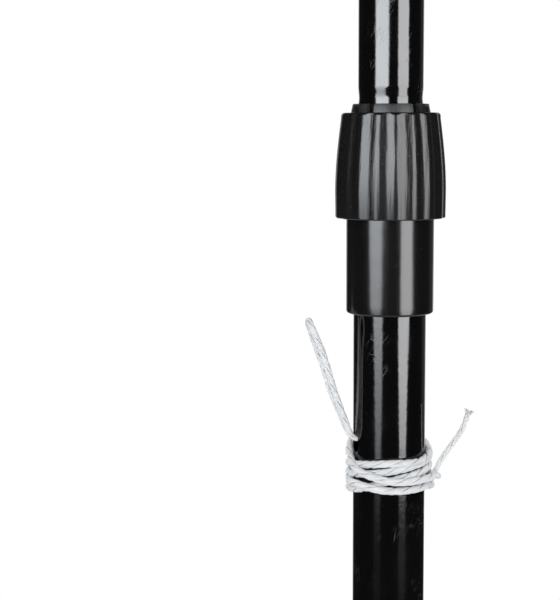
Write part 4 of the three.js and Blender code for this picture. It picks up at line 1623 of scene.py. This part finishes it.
@dataclass
class Base:
    """Round tank with its filler and feet.

    The neck's flare is a width, a height and a rounding, the foot's hollow is two radii and a
    depth, and the ribs' fades are measured from the cap's rims.
    """

    radius: float = 210.0 * MM
    foot_corner: float = 14.0 * MM
    shoulder: float = 20.0 * MM
    rim_height: float = 58.0 * MM
    boss_radius: float = 66.0 * MM
    boss_corner: float = 6.0 * MM
    boss_rise: float = 5.0 * MM
    boss_top: float = 82.0 * MM
    seam_height: float = 30.0 * MM
    seam_half: float = 0.8 * MM
    seam_sink: float = 0.5 * MM
    slope_rows: int = 64
    slope_inset: float = 1.0 * MM
    slope_end_edge: float = 2.0 * MM
    boss_edge: float = 2.5 * MM
    recesses: int = 8
    recess_depth: float = 6.0 * MM
    recess_reach: Pair = (88.0 * MM, 172.0 * MM)
    recess_wall: float = 7.0 * MM
    recess_floor_share: float = 0.3
    recess_edge_share: float = 0.1
    filler_azimuth: float = 112.5
    filler_circle: float = 132.0 * MM
    neck_radius: float = 20.0 * MM
    neck_bore: float = 16.5 * MM
    neck_sink: float = 8.0 * MM
    neck_flare: Triple = (2.0 * MM, 14.0 * MM, 4.0 * MM)
    foot_circle: float = 172.0 * MM
    foot_radius: float = 15.0 * MM
    foot_hollow: Triple = (7.0 * MM, 7.6 * MM, 0.6 * MM)
    feet: int = 6
    cap_wall: float = 3.0 * MM
    cap_ribs: int = 20
    cap_rib_depth: float = 0.8 * MM
    cap_rib_sharpness: float = 0.6
    rib_fade_low: Pair = (0.8 * MM, 2.4 * MM)
    rib_fade_high: Pair = (3.0 * MM, 1.0 * MM)
    grip_height: float = 6.0 * MM
    grip_bevel: float = 1.4 * MM
    steps: int = 256

    def slope_height(self, reach: float) -> float:
        """Height of the tank's sloping top at a distance from the axis."""
        start = self.radius - self.shoulder
        end = self.boss_radius + self.boss_corner
        slope_top = self.boss_top - self.boss_rise
        return self.rim_height + (start - reach) / (start - end) * (slope_top - self.rim_height)

    def sunk(self, reach: float, height: float, angles: Array) -> Sink:
        """Sinks the radial recesses into the tank's top.

        Args:
            reach: Distance of a ring from the axis.
            height: Its height.
            angles: Angles of its points.

        Returns:
            How far its points sink in and down.
        """
        inner, outer = self.recess_reach
        if height < self.rim_height - MM or not inner - self.recess_wall < reach < outer + self.recess_wall:
            return 0.0, 0.0
        turn = angles / (2 * math.pi) * self.recesses
        share = np.abs(turn - np.round(turn))
        half = self.recess_edge_share / 2
        depth = 1.0 - eased(share, self.recess_floor_share - half, self.recess_floor_share + half)
        depth = depth * eased(reach, inner - self.recess_wall / 2, inner + self.recess_wall / 2)
        depth = depth * (1.0 - eased(reach, outer - self.recess_wall / 2, outer + self.recess_wall / 2))
        return 0.0, self.recess_depth * depth

    def tank(self) -> Form:
        """Blow-moulded tank with a parting line round its side and its filler neck."""
        low = span("base_tank")[0]
        top = self.boss_top
        slope_start = self.radius - self.shoulder
        slope_end = self.boss_radius + self.boss_corner
        corners = [
            Corner(0.0, low),
            Corner(self.radius, low, self.foot_corner),
            Corner(self.radius, self.seam_height - self.seam_half),
            Corner(self.radius - self.seam_sink, self.seam_height),
            Corner(self.radius, self.seam_height + self.seam_half),
            Corner(self.radius, self.rim_height, self.shoulder),
        ]
        reaches = [slope_start - self.slope_inset]
        for row in range(1, self.slope_rows):
            reaches.append(slope_start + (slope_end - slope_start) * row / self.slope_rows)
        corners += [Corner(reach, self.slope_height(reach)) for reach in reaches]
        corners += [
            Corner(slope_end, top - self.boss_rise, self.slope_end_edge),
            Corner(self.boss_radius, top, self.boss_edge),
            Corner(0.0, top),
        ]
        skin = turned(rounded(corners, closed=False, steps=8), self.steps, self.sunk)
        neck_low = self.slope_height(self.filler_circle) - self.neck_sink
        neck_top = span("base_tank")[1]
        flare, flare_height, flare_edge = self.neck_flare
        neck = lathed(
            [
                Corner(self.neck_bore, neck_low),
                Corner(self.neck_radius + flare, neck_low),
                Corner(self.neck_radius, neck_low + flare_height, flare_edge),
                Corner(self.neck_radius, neck_top, MOULDED_EDGE),
                Corner(self.neck_bore, neck_top, MOULDED_EDGE),
            ],
            96,
            closed=True,
        )
        return skin.add(neck.placed(around(self.filler_circle, 0.0, self.filler_azimuth)))

    def filler_cap(self) -> Form:
        """Ribbed screw cap with a bar to grip."""
        low, high = span("filler_cap")
        box_low, box_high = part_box("filler_cap")
        outside = (box_high.x - box_low.x) / 2
        bar = self.grip_height
        top = high - bar + 0.3 * MM
        inside = outside - self.cap_wall
        under = span("filler_seal")[1] + SEAT_GAP
        corners = [
            Corner(0.0, under),
            Corner(inside, under),
            Corner(inside, low),
            Corner(outside, low, EASED_EDGE),
            Corner(outside, low + 2.0 * MM),
            Corner(outside, top - 2.5 * MM),
            Corner(outside, top, ROUND_EDGE),
            Corner(0.0, top),
        ]
        outline = rounded(corners, closed=False)
        low_fade = [low + height for height in self.rib_fade_low]
        high_fade = [top - height for height in self.rib_fade_high]

        def ribbed(reach: float, height: float, angles: Array) -> Sink:
            """Ribs round the skirt that fade into its rims."""
            if reach < outside - 1.3 * MM:
                return 0.0, 0.0
            fade = eased(height, *low_fade) * (1.0 - eased(height, *high_fade))
            wave = (0.5 - 0.5 * np.cos(self.cap_ribs * angles)) ** self.cap_rib_sharpness
            return self.cap_rib_depth * wave * fade, 0.0

        shell = turned(with_rows(outline, low, top, 0.8 * MM), self.cap_ribs * 14, ribbed)
        grip = block((2 * inside, bar, bar), self.grip_bevel)
        shell.add(grip.placed(Matrix.Translation((0.0, 0.0, high - bar / 2))))
        return shell.placed(self.filler_place())

    def filler_place(self) -> Matrix:
        """Axis of the filler, with the cap's grip along X."""
        x, y, _ = polar(self.filler_circle, self.filler_azimuth, 0.0)
        return Matrix.Translation((x, y, 0.0))

    def foot(self) -> Form:
        """Rubber foot with rounded edges and a shallow hollow underneath."""
        high = span("rubber_foot_1")[1]
        inside, outside, depth = self.foot_hollow
        corners = [
            Corner(0.0, depth),
            Corner(inside, depth, CRISP_EDGE),
            Corner(outside, 0.0, CRISP_EDGE),
            Corner(self.foot_radius, 0.0, FULL_EDGE),
            Corner(self.foot_radius, high, SOFT_EDGE),
            Corner(0.0, high),
        ]
        return lathed(corners, 64)

    def build(self) -> None:
        """Makes the tank, its filler and its feet."""
        Piece("tank_body", self.tank(), TANK_PLASTIC, Body.BASE, ("base_tank",)).make()
        Piece("filler_screw_cap", self.filler_cap(), MATT_PLASTIC, Body.CAP, ("filler_cap",)).make()
        dress_node("sand_ballast", SAND)
        dress_node("filler_seal", RUBBER)
        for index in range(self.feet):
            place = around(self.foot_circle, 0.0, index * 360.0 / self.feet)
            node = f"rubber_foot_{index + 1}"
            Piece(f"tank_foot_{index + 1}", self.foot().placed(place), RUBBER, Body.BASE, (node,)).make()


@dataclass
class PostSocket:
    """Welded socket with its liner, its screws and its clamping knob.

    A washer, head, shank or nose is a radius and a length, a thread is a pitch and a depth, and
    the knob's dish is two radii and a depth.
    """

    flange_radius: float = 58.0 * MM
    flange_thickness: float = 4.0 * MM
    tube_radius: float = 19.0 * MM
    tube_wall: float = 1.5 * MM
    gusset_reach: float = 26.0 * MM
    gusset_height: float = 34.0 * MM
    gusset_thickness: float = 3.0 * MM
    gusset_toe: float = 4.0 * MM
    gusset_ease: float = 0.35 * MM
    gussets: int = 4
    boss_radius: float = 10.0 * MM
    boss_length: float = 11.0 * MM
    boss_rise: float = 62.0 * MM
    weld: float = 1.7 * MM
    gusset_weld_share: float = 0.7
    boss_weld_share: float = 0.8
    screw_circle: float = 44.0 * MM
    screws: int = 4
    washer: Pair = (9.0 * MM, 1.6 * MM)
    head: Pair = (7.5 * MM, 5.5 * MM)
    head_chamfer: float = 1.4 * MM
    shank: Pair = (4.0 * MM, 26.0 * MM)
    shank_thread: Pair = (1.75 * MM, 0.6 * MM)
    liner_bore: float = 14.3 * MM
    knob_lobes: int = 6
    knob_lobe_depth: float = 3.2 * MM
    knob_radius: float = 27.0 * MM
    knob_hub: float = 12.0 * MM
    knob_hub_length: float = 7.0 * MM
    knob_seat: float = 12.3 * MM
    knob_dish: Triple = (15.0 * MM, 13.0 * MM, 1.2 * MM)
    screw_radius: float = 5.0 * MM
    screw_root: float = 4.2 * MM
    screw_nose: Pair = (2.6 * MM, 3.0 * MM)
    screw_thread: Pair = (1.5 * MM, 0.75 * MM)

    @property
    def foot(self) -> float:
        """Height of the flange's underside."""
        return span("post_socket")[0]

    @property
    def axis_height(self) -> float:
        """Height of the knob's axis."""
        return self.foot + self.flange_thickness + self.boss_rise

    def weldment(self) -> Form:
        """Flange, tube, gussets and boss with the weld beads between them."""
        low, high = span("post_socket")
        top = low + self.flange_thickness
        bore = self.tube_radius - self.tube_wall
        corners = [
            Corner(0.0, low),
            Corner(self.flange_radius, low, SOFT_EDGE),
            Corner(self.flange_radius, top, 0.7 * MM),
            Corner(self.tube_radius, top),
            Corner(self.tube_radius, high, EASED_EDGE),
            Corner(bore, high, EASED_EDGE),
            Corner(bore, top),
            Corner(0.0, top),
        ]
        tube = lathed(corners, 160)
        for index in range(self.gussets):
            tube.add(self.gusset().placed(around(0.0, low, index * 360.0 / self.gussets)))
        tube.add(self.boss())
        tube.add(self.bead(top))
        return tube

    def gusset(self) -> Form:
        """One gusset plate with its edges eased and a bead along its foot and its back."""
        half, ease = self.gusset_thickness / 2, self.gusset_ease
        root = self.tube_radius - self.tube_wall / 2
        flange = self.flange_thickness
        reach, top = self.tube_radius + self.gusset_reach, flange + self.gusset_height
        outline = [
            (root, flange / 2),
            (reach, flange / 2),
            (reach, flange + self.gusset_toe),
            (self.tube_radius + self.gusset_toe, top),
            (root, top),
        ]
        middle = np.mean(np.array(outline), axis=0)
        points: list[Triple] = []
        for x, z in outline:
            points += [(x, half - ease, z), (x, ease - half, z)]
            way = (middle - np.array([x, z])) / np.linalg.norm(middle - np.array([x, z])) * ease
            points += [(x + way[0], half, z + way[1]), (x + way[0], -half, z + way[1])]
        plate = hull_of(np.array(points))
        back = self.tube_radius - 0.1 * MM
        for side in (-half, half):
            along_foot = [(self.tube_radius, side, flange), (reach - MM, side, flange)]
            up_back = [(back, side, flange), (back, side, top - MM)]
            plate.add(self.run_of_weld(along_foot, self.gusset_weld_share))
            plate.add(self.run_of_weld(up_back, self.gusset_weld_share))
        return plate

    def run_of_weld(self, ends: Sequence[Sequence[float]], share: float) -> Form:
        """Straight bead with the ripples of its puddles."""
        count = 60
        line = np.linspace(np.array(ends[0]), np.array(ends[1]), count)
        puddles = 1.0 + 0.12 * np.sin(np.arange(count) * 1.6)
        return rod(line, self.weld * share * puddles, 10)

    def bead(self, height: float) -> Form:
        """Bead round the foot of the tube."""
        turns = np.linspace(0.0, 2 * math.pi, 180, endpoint=False)
        ring = np.stack([np.cos(turns), np.sin(turns), np.zeros(len(turns))], axis=1)
        line = ring * self.tube_radius + np.array([0.0, 0.0, height])
        return rod(line, self.weld * (1.0 + 0.1 * np.sin(turns * 45)), 12, closed=True)

    def boss(self) -> Form:
        """Threaded boss with its bead, along +X."""
        root = self.tube_radius - self.tube_wall / 2
        end = self.tube_radius + self.boss_length
        bore = self.screw_radius + SEAT_GAP
        corners = [
            Corner(bore, root),
            Corner(self.boss_radius, root),
            Corner(self.boss_radius, end, MOULDED_EDGE),
            Corner(bore, end, SOFT_EDGE),
        ]
        collar = lathed(corners, 96, closed=True)
        turns = np.linspace(0.0, 2 * math.pi, 120, endpoint=False)
        aside = self.boss_radius * np.cos(turns)
        reach = np.sqrt(self.tube_radius**2 - aside**2)
        line = np.stack([aside, self.boss_radius * np.sin(turns), reach], axis=1)
        beads = 1.0 + 0.12 * np.sin(turns * 26)
        collar.add(rod(line, self.weld * self.boss_weld_share * beads, 10, closed=True))
        return collar.placed(self.knob_axis())

    def knob_axis(self, start: float = 0.0) -> Matrix:
        """Lays a form made along +Z so that it runs along +X from a start, at the knob's height."""
        laid = Matrix(((0, 0, 1, 0), (1, 0, 0, 0), (0, 1, 0, 0), (0, 0, 0, 1)))
        return Matrix.Translation((start, 0.0, self.axis_height)) @ laid

    def liner(self) -> Form:
        """Plastic liner with the collar on the socket's mouth."""
        low, high = span("socket_liner")
        mouth = span("post_socket")[1] + SEAT_GAP
        outer = self.tube_radius - self.tube_wall - SEAT_GAP
        box_low, box_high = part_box("socket_liner")
        collar = (box_high.x - box_low.x) / 2
        corners = [
            Corner(self.liner_bore, low, EASED_EDGE),
            Corner(outer, low, EASED_EDGE),
            Corner(outer, mouth),
            Corner(collar, mouth, EASED_EDGE),
            Corner(collar, high, FULL_EDGE),
            Corner(self.liner_bore, high, 0.7 * MM),
        ]
        return lathed(corners, 128, closed=True)

    def flange_screw(self) -> Form:
        """Hexagon screw with a washer face, its seat at zero."""
        washer_radius, washer = self.washer
        head_radius, head = self.head
        corners = [
            Corner(0.0, 0.0),
            Corner(washer_radius, 0.0, FINE_EDGE),
            Corner(washer_radius, washer, SOFT_EDGE),
            Corner(0.0, washer + 0.2 * MM),
        ]
        screw = lathed(corners, 64)
        top = washer + head
        hexagon = turned(cylinder(head_radius, washer / 2, top), 6)
        chamfer = turned(
            [
                (head_radius * 1.02, top - self.head_chamfer),
                (head_radius * 1.5, top - self.head_chamfer),
                (head_radius * 1.5, top + MM),
                (head_radius * 0.8, top + MM),
                (head_radius * 0.8, top + 0.05 * MM),
            ],
            64,
        )
        screw.add(carved(hexagon, [chamfer]))
        shank_radius, shank = self.shank
        count = 130
        first, length = MM - shank, shank - 0.6 * MM
        rows = [(0.0, -shank), (shank_radius * 0.7, -shank)]
        rows += [(shank_radius, first + length * row / count) for row in range(count)]
        rows += [(0.0, washer / 2)]
        return screw.add(turned(rows, 32, threading(shank_radius, *self.shank_thread)))

    def knob(self) -> Form:
        """Lobed hand knob with a dished face."""
        box_low, box_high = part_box("clamp_knob")
        length = box_high.x - box_low.x - self.knob_hub_length
        hub, top = self.knob_hub_length, self.knob_hub_length + length
        bore = self.screw_radius + SEAT_GAP
        seat = hub + self.knob_seat
        dish_rim, dish_floor, dish = self.knob_dish
        corners = [
            Corner(0.0, seat),
            Corner(bore, seat),
            Corner(bore, 0.0, CRISP_EDGE),
            Corner(self.knob_hub, 0.0, 1.0 * MM),
            Corner(self.knob_hub, hub, ROUND_EDGE),
            Corner(self.knob_radius, hub, 3.0 * MM),
            Corner(self.knob_radius, top, 4.0 * MM),
            Corner(dish_rim, top, 1.5 * MM),
            Corner(dish_floor, top - dish, 1.5 * MM),
            Corner(0.0, top - dish),
        ]
        outline = rounded(corners, closed=False, steps=8)

        def lobed(reach: float, height: float, angles: Array) -> Sink:
            """Six finger hollows round the knob."""
            if height < hub - 0.2 * MM or reach < 17.0 * MM:
                return 0.0, 0.0
            share = eased(reach, 16.0 * MM, 24.0 * MM)
            hollow = (0.5 + 0.5 * np.cos(self.knob_lobes * angles)) ** 1.4
            return share * self.knob_lobe_depth * hollow, 0.0

        knob = turned(with_rows(outline, hub, top, 1.5 * MM), self.knob_lobes * 32, lobed)
        return knob.placed(self.knob_axis(box_low.x))

    def knob_screw(self) -> Form:
        """Threaded rod between the boss and the knob."""
        box_low, box_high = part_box("knob_screw")
        length = box_high.x - box_low.x
        nose_radius, nose = self.screw_nose
        rows: Profile = [(0.0, 0.0), (nose_radius, 0.0), (nose_radius, nose), (self.screw_root, nose)]
        count = 190
        first, cut = nose + 0.8 * MM, length - nose - MM
        rows += [(self.screw_radius, first + cut * row / count) for row in range(count)]
        rows += [(self.screw_root, length), (0.0, length)]
        screw = turned(rows, 48, threading(self.screw_radius, *self.screw_thread))
        return screw.placed(self.knob_axis(box_low.x))

    def build(self) -> None:
        """Makes the socket with all that is fixed to it."""
        Piece("socket_weldment", self.weldment(), ENAMEL, Body.BASE, ("post_socket",)).make()
        Piece("collared_liner", self.liner(), MATT_PLASTIC, Body.BASE, ("socket_liner",)).make()
        seat = span("flange_screw_1")[0] + self.shank[1]
        for index in range(self.screws):
            place = around(self.screw_circle, seat, (index + 0.5) * 360.0 / self.screws)
            name, node = f"hex_screw_{index + 1}", f"flange_screw_{index + 1}"
            screw = self.flange_screw().placed(place)
            Piece(name, screw, ZINC, Body.BASE, (node,), 30.0).make()
        Piece("hand_knob", self.knob(), MATT_PLASTIC, Body.KNOB, ("clamp_knob",)).make()
        Piece("threaded_rod", self.knob_screw(), ZINC, Body.KNOB, ("knob_screw",), 30.0).make()
        dress_node("pressure_tip", NYLON)


@dataclass(frozen=True)
class Band:
    """One height of a tall soft light.

    Args:
        height: Height above the floor.
        radiance: Brightness there.
        edges: Directions of its two upright edges from the post, in degrees.
    """

    height: float
    radiance: float
    edges: Pair


@dataclass(frozen=True)
class SoftPanel:
    """Tall soft light that shows in glossy surfaces and varies over its height.

    Args:
        name: Name of the light.
        bands: Its brightness and edges at several heights, upwards.
        softness: Width of its faded edges in degrees.
        colour: Its tint.
        distance: Its distance from the post.
    """

    name: str
    bands: tuple[Band, ...]
    softness: float
    colour: Colour = WHITE
    distance: float = 1.2

    def make(self) -> bpy.types.Object:
        """Makes the light.

        Returns:
            The light's object.
        """
        start = min(band.edges[0] for band in self.bands) - self.softness / 2
        end = max(band.edges[1] for band in self.bands) + self.softness / 2
        middle, half = (start + end) / 2, math.tan(math.radians((end - start) / 2))
        low, high = self.bands[0].height, self.bands[-1].height
        peak = max(band.radiance for band in self.bands)

        def across(azimuth: float) -> float:
            """Share of the width at a direction from the post."""
            return 0.5 + math.tan(math.radians(azimuth - middle)) / (2 * half)

        stops = [
            ((band.height - low) / (high - low), (band.radiance / peak, *map(across, band.edges)))
            for band in self.bands
        ]
        lamp = area_light(self.name, (2 * half * self.distance, high - low), 1.0, self.colour)
        lamp.data.use_nodes = True
        graph = Graph(lamp.data.node_tree)
        place = graph.node("NewGeometry").outputs["Parametric"]
        axes = graph.node("SeparateXYZ", None, {"Vector": place}).outputs
        ramp = graph.node("ValToRGB", {"stops": stops}, {"Fac": axes["Y"]})
        shares = graph.node("SeparateColor", None, {"Color": ramp.outputs["Color"]}).outputs
        bright, left, right = (Socket(graph, shares[index]) for index in range(3))
        fade = self.softness * math.pi / 360 / half
        at = Socket(graph, axes["X"])
        rising = at.between(left - fade / 2, left + fade / 2)
        falling = 1.0 - at.between(right - fade / 2, right + fade / 2)
        strength = peak * bright * (rising * falling)
        glow = graph.node("Emission", None, {"Color": (*WHITE, 1.0), "Strength": strength})
        graph.node("OutputLight", None, {"Surface": glow.outputs[0]})
        face_post(lamp, self.distance, middle, (low + high) / 2)
        lamp.visible_diffuse = False
        return lamp


def area_light(name: str, size: Pair, radiance: float, colour: Colour) -> bpy.types.Object:
    """Makes a rectangular light that the camera doesn't see.

    Args:
        name: Its name.
        size: Its width and height.
        radiance: Its brightness.
        colour: Its tint.

    Returns:
        The light's object.
    """
    light = bpy.data.lights.new(name, "AREA")
    light.shape = "RECTANGLE"
    light.size, light.size_y = size
    light.energy = radiance * math.pi * size[0] * size[1]
    light.color = colour
    lamp = bpy.data.objects.new(name, light)
    lamp.visible_camera = False
    bpy.context.scene.collection.objects.link(lamp)
    return lamp


def face_post(lamp: bpy.types.Object, distance: float, azimuth: float, height: float) -> None:
    """Puts a light at a distance, azimuth and height, facing the post."""
    lamp.location = polar(distance, azimuth, height)
    inward = Vector((-lamp.location.x, -lamp.location.y, 0.0))
    lamp.rotation_euler = inward.to_track_quat("-Z", "Y").to_euler()


LEFT_PANEL = SoftPanel(
    "left_panel",
    (
        Band(0.20, 0.05, (-142.0, -120.5)),
        Band(0.33, 0.08, (-142.0, -120.5)),
        Band(0.36, 0.18, (-142.0, -120.5)),
        Band(0.38, 0.38, (-139.5, -122.0)),
        Band(0.41, 1.40, (-138.5, -121.0)),
        Band(0.45, 2.40, (-137.5, -120.0)),
        Band(0.495, 3.2, (-140.0, -117.0)),
        Band(0.55, 4.20, (-142.7, -117.8)),
        Band(0.60, 5.60, (-147.0, -116.8)),
        Band(0.63, 6.30, (-146.0, -113.5)),
        Band(0.70, 7.70, (-148.7, -116.0)),
        Band(0.785, 9.2, (-152.0, -106.0)),
        Band(0.85, 12.0, (-149.0, -102.0)),
        Band(1.40, 12.0, (-149.0, -101.5)),
    ),
    9.0,
    (0.92, 0.965, 1.0),
)
RIGHT_PANEL = SoftPanel(
    "right_panel",
    (
        Band(0.20, 0.06, (-62.0, -40.0)),
        Band(0.33, 0.13, (-62.0, -40.0)),
        Band(0.36, 0.40, (-62.0, -40.0)),
        Band(0.38, 0.90, (-61.0, -38.5)),
        Band(0.41, 3.60, (-61.0, -39.0)),
        Band(0.45, 6.30, (-61.0, -39.3)),
        Band(0.495, 7.2, (-63.5, -36.5)),
        Band(0.55, 8.30, (-66.2, -33.5)),
        Band(0.60, 8.40, (-67.0, -29.0)),
        Band(0.63, 8.30, (-66.0, -34.0)),
        Band(0.70, 8.80, (-65.0, -35.0)),
        Band(0.80, 7.80, (-69.0, -30.0)),
        Band(0.90, 9.20, (-69.5, -31.0)),
        Band(1.40, 9.20, (-69.5, -31.0)),
    ),
    5.0,
    (0.975, 0.985, 1.0),
)
LEFT_RIM = SoftPanel(
    "left_rim",
    (
        Band(0.43, 0.0, (128.0, 150.0)),
        Band(0.45, 1.0, (128.0, 150.0)),
        Band(0.503, 0.85, (139.0, 154.0)),
        Band(0.54, 0.8, (144.0, 155.0)),
        Band(0.59, 0.6, (146.0, 153.0)),
        Band(0.61, 0.0, (146.0, 153.0)),
    ),
    3.0,
)
RIGHT_GLOW = SoftPanel(
    "right_glow",
    (
        Band(0.42, 0.0, (30.0, 72.0)),
        Band(0.47, 0.09, (30.0, 72.0)),
        Band(1.40, 0.09, (30.0, 72.0)),
    ),
    16.0,
)


@dataclass
class Studio:
    """Floor, lights, background and camera."""

    camera_place: Triple = (-0.04228, -0.558, 0.835)
    camera_tilt: float = 7.0
    camera_roll: float = -0.2
    lens: float = 87.5
    sensor: float = 36.0
    floor_radius: float = 1.5
    floor_colour: Colour = (0.8, 0.8, 0.8)
    floor_fade_shares: Pair = (0.45, 0.98)
    room: float = 0.46
    backdrop: float = 1.0
    backdrop_edges: Pair = (-0.2, 0.9)
    dark_room: float = 0.015
    behind_way: Triple = (0.075, 0.997, 0.0)
    mirrored_edges: Pair = (0.86, 0.97)
    key_size: Pair = (1.0, 1.0)
    key_place: Triple = (1.3, -94.0, 0.95)
    key_radiance: float = 3.1
    panels: tuple[SoftPanel, ...] = (LEFT_PANEL, RIGHT_PANEL, LEFT_RIM, RIGHT_GLOW)

    def camera(self) -> None:
        """Puts the camera where the photograph was taken from."""
        data = bpy.data.cameras.new("photo_camera")
        data.lens = self.lens
        data.sensor_width = self.sensor
        camera = bpy.data.objects.new("photo_camera", data)
        camera.location = self.camera_place
        tilt = Matrix.Rotation(math.radians(90.0 - self.camera_tilt), 4, "X")
        roll = Matrix.Rotation(math.radians(self.camera_roll), 4, "Z")
        camera.rotation_euler = (tilt @ roll).to_euler()
        bpy.context.scene.collection.objects.link(camera)
        bpy.context.scene.camera = camera

    def world(self) -> None:
        """White background, and a room that is brighter behind the post."""
        world = bpy.data.worlds.new("studio")
        world.use_nodes = True
        bpy.context.scene.world = world
        graph = Graph(world.node_tree)
        way = graph.node("TexCoord").outputs["Generated"]
        inputs = {0: way, 1: self.behind_way}
        toward = graph.node("VectorMath", {"operation": "DOT_PRODUCT"}, inputs)
        behind = Socket(graph, toward.outputs["Value"])
        path = graph.node("LightPath").outputs
        seen, through, mirrored = (
            Socket(graph, path[f"Is {kind} Ray"]) for kind in ("Camera", "Transmission", "Glossy")
        )
        direct = seen + through
        reflected = self.dark_room + (1.0 - self.dark_room) * behind.between(*self.mirrored_edges)
        scattered = self.room + self.backdrop * behind.between(*self.backdrop_edges)
        strength = direct + mirrored * reflected + (1.0 - direct - mirrored) * scattered
        shader = graph.node("Background", None, {"Color": (*WHITE, 1.0), "Strength": strength})
        graph.node("OutputWorld", None, {"Surface": shader.outputs[0]})

    def floor(self) -> None:
        """Pale round floor that fades into the white background."""
        disc = turned(cylinder(self.floor_radius, -MM, 0.0), 128)
        floor = bpy.data.objects.new("pale_floor", disc.mesh("pale_floor"))
        bpy.context.scene.collection.objects.link(floor)
        material = bpy.data.materials.new("pale_floor")
        material.use_nodes = True
        graph = Graph(material.node_tree)
        place = graph.node("TexCoord").outputs["Object"]
        far = graph.node("VectorMath", {"operation": "LENGTH"}, {0: place})
        start, end = (share * self.floor_radius for share in self.floor_fade_shares)
        fading = Socket(graph, far.outputs["Value"]).between(start, end)
        seen = Socket(graph, graph.node("LightPath").outputs["Is Camera Ray"])
        surface = {"Base Color": (*self.floor_colour, 1.0), "Roughness": 0.8}
        matt = graph.node("BsdfPrincipled", None, surface).outputs[0]
        glow = graph.node("Emission", None, {"Color": (*WHITE, 1.0), "Strength": 1.0}).outputs[0]
        mix = graph.node("MixShader", None, {0: fading * seen, 1: matt, 2: glow})
        graph.node("OutputMaterial", None, {"Surface": mix.outputs[0]})
        floor.data.materials.append(material)

    def build(self) -> None:
        """Makes the camera, the lights, the world and the floor."""
        self.camera()
        self.world()
        self.floor()
        for panel in self.panels:
            panel.make()
        key = area_light("front_key", self.key_size, self.key_radiance, WHITE)
        face_post(key, *self.key_place)
        key.visible_glossy = False
        bpy.context.scene.view_settings.view_transform = "Standard"


def main() -> None:
    """Builds the studio, the cord and the post in order."""
    logging.basicConfig(level=logging.INFO, format="%(name)s: %(message)s")
    Studio().build()
    TieCord().build()
    Tubes().build()
    TwistClamp().build()
    Base().build()
    PostSocket().build()


if __name__ == "__main__":
    main()
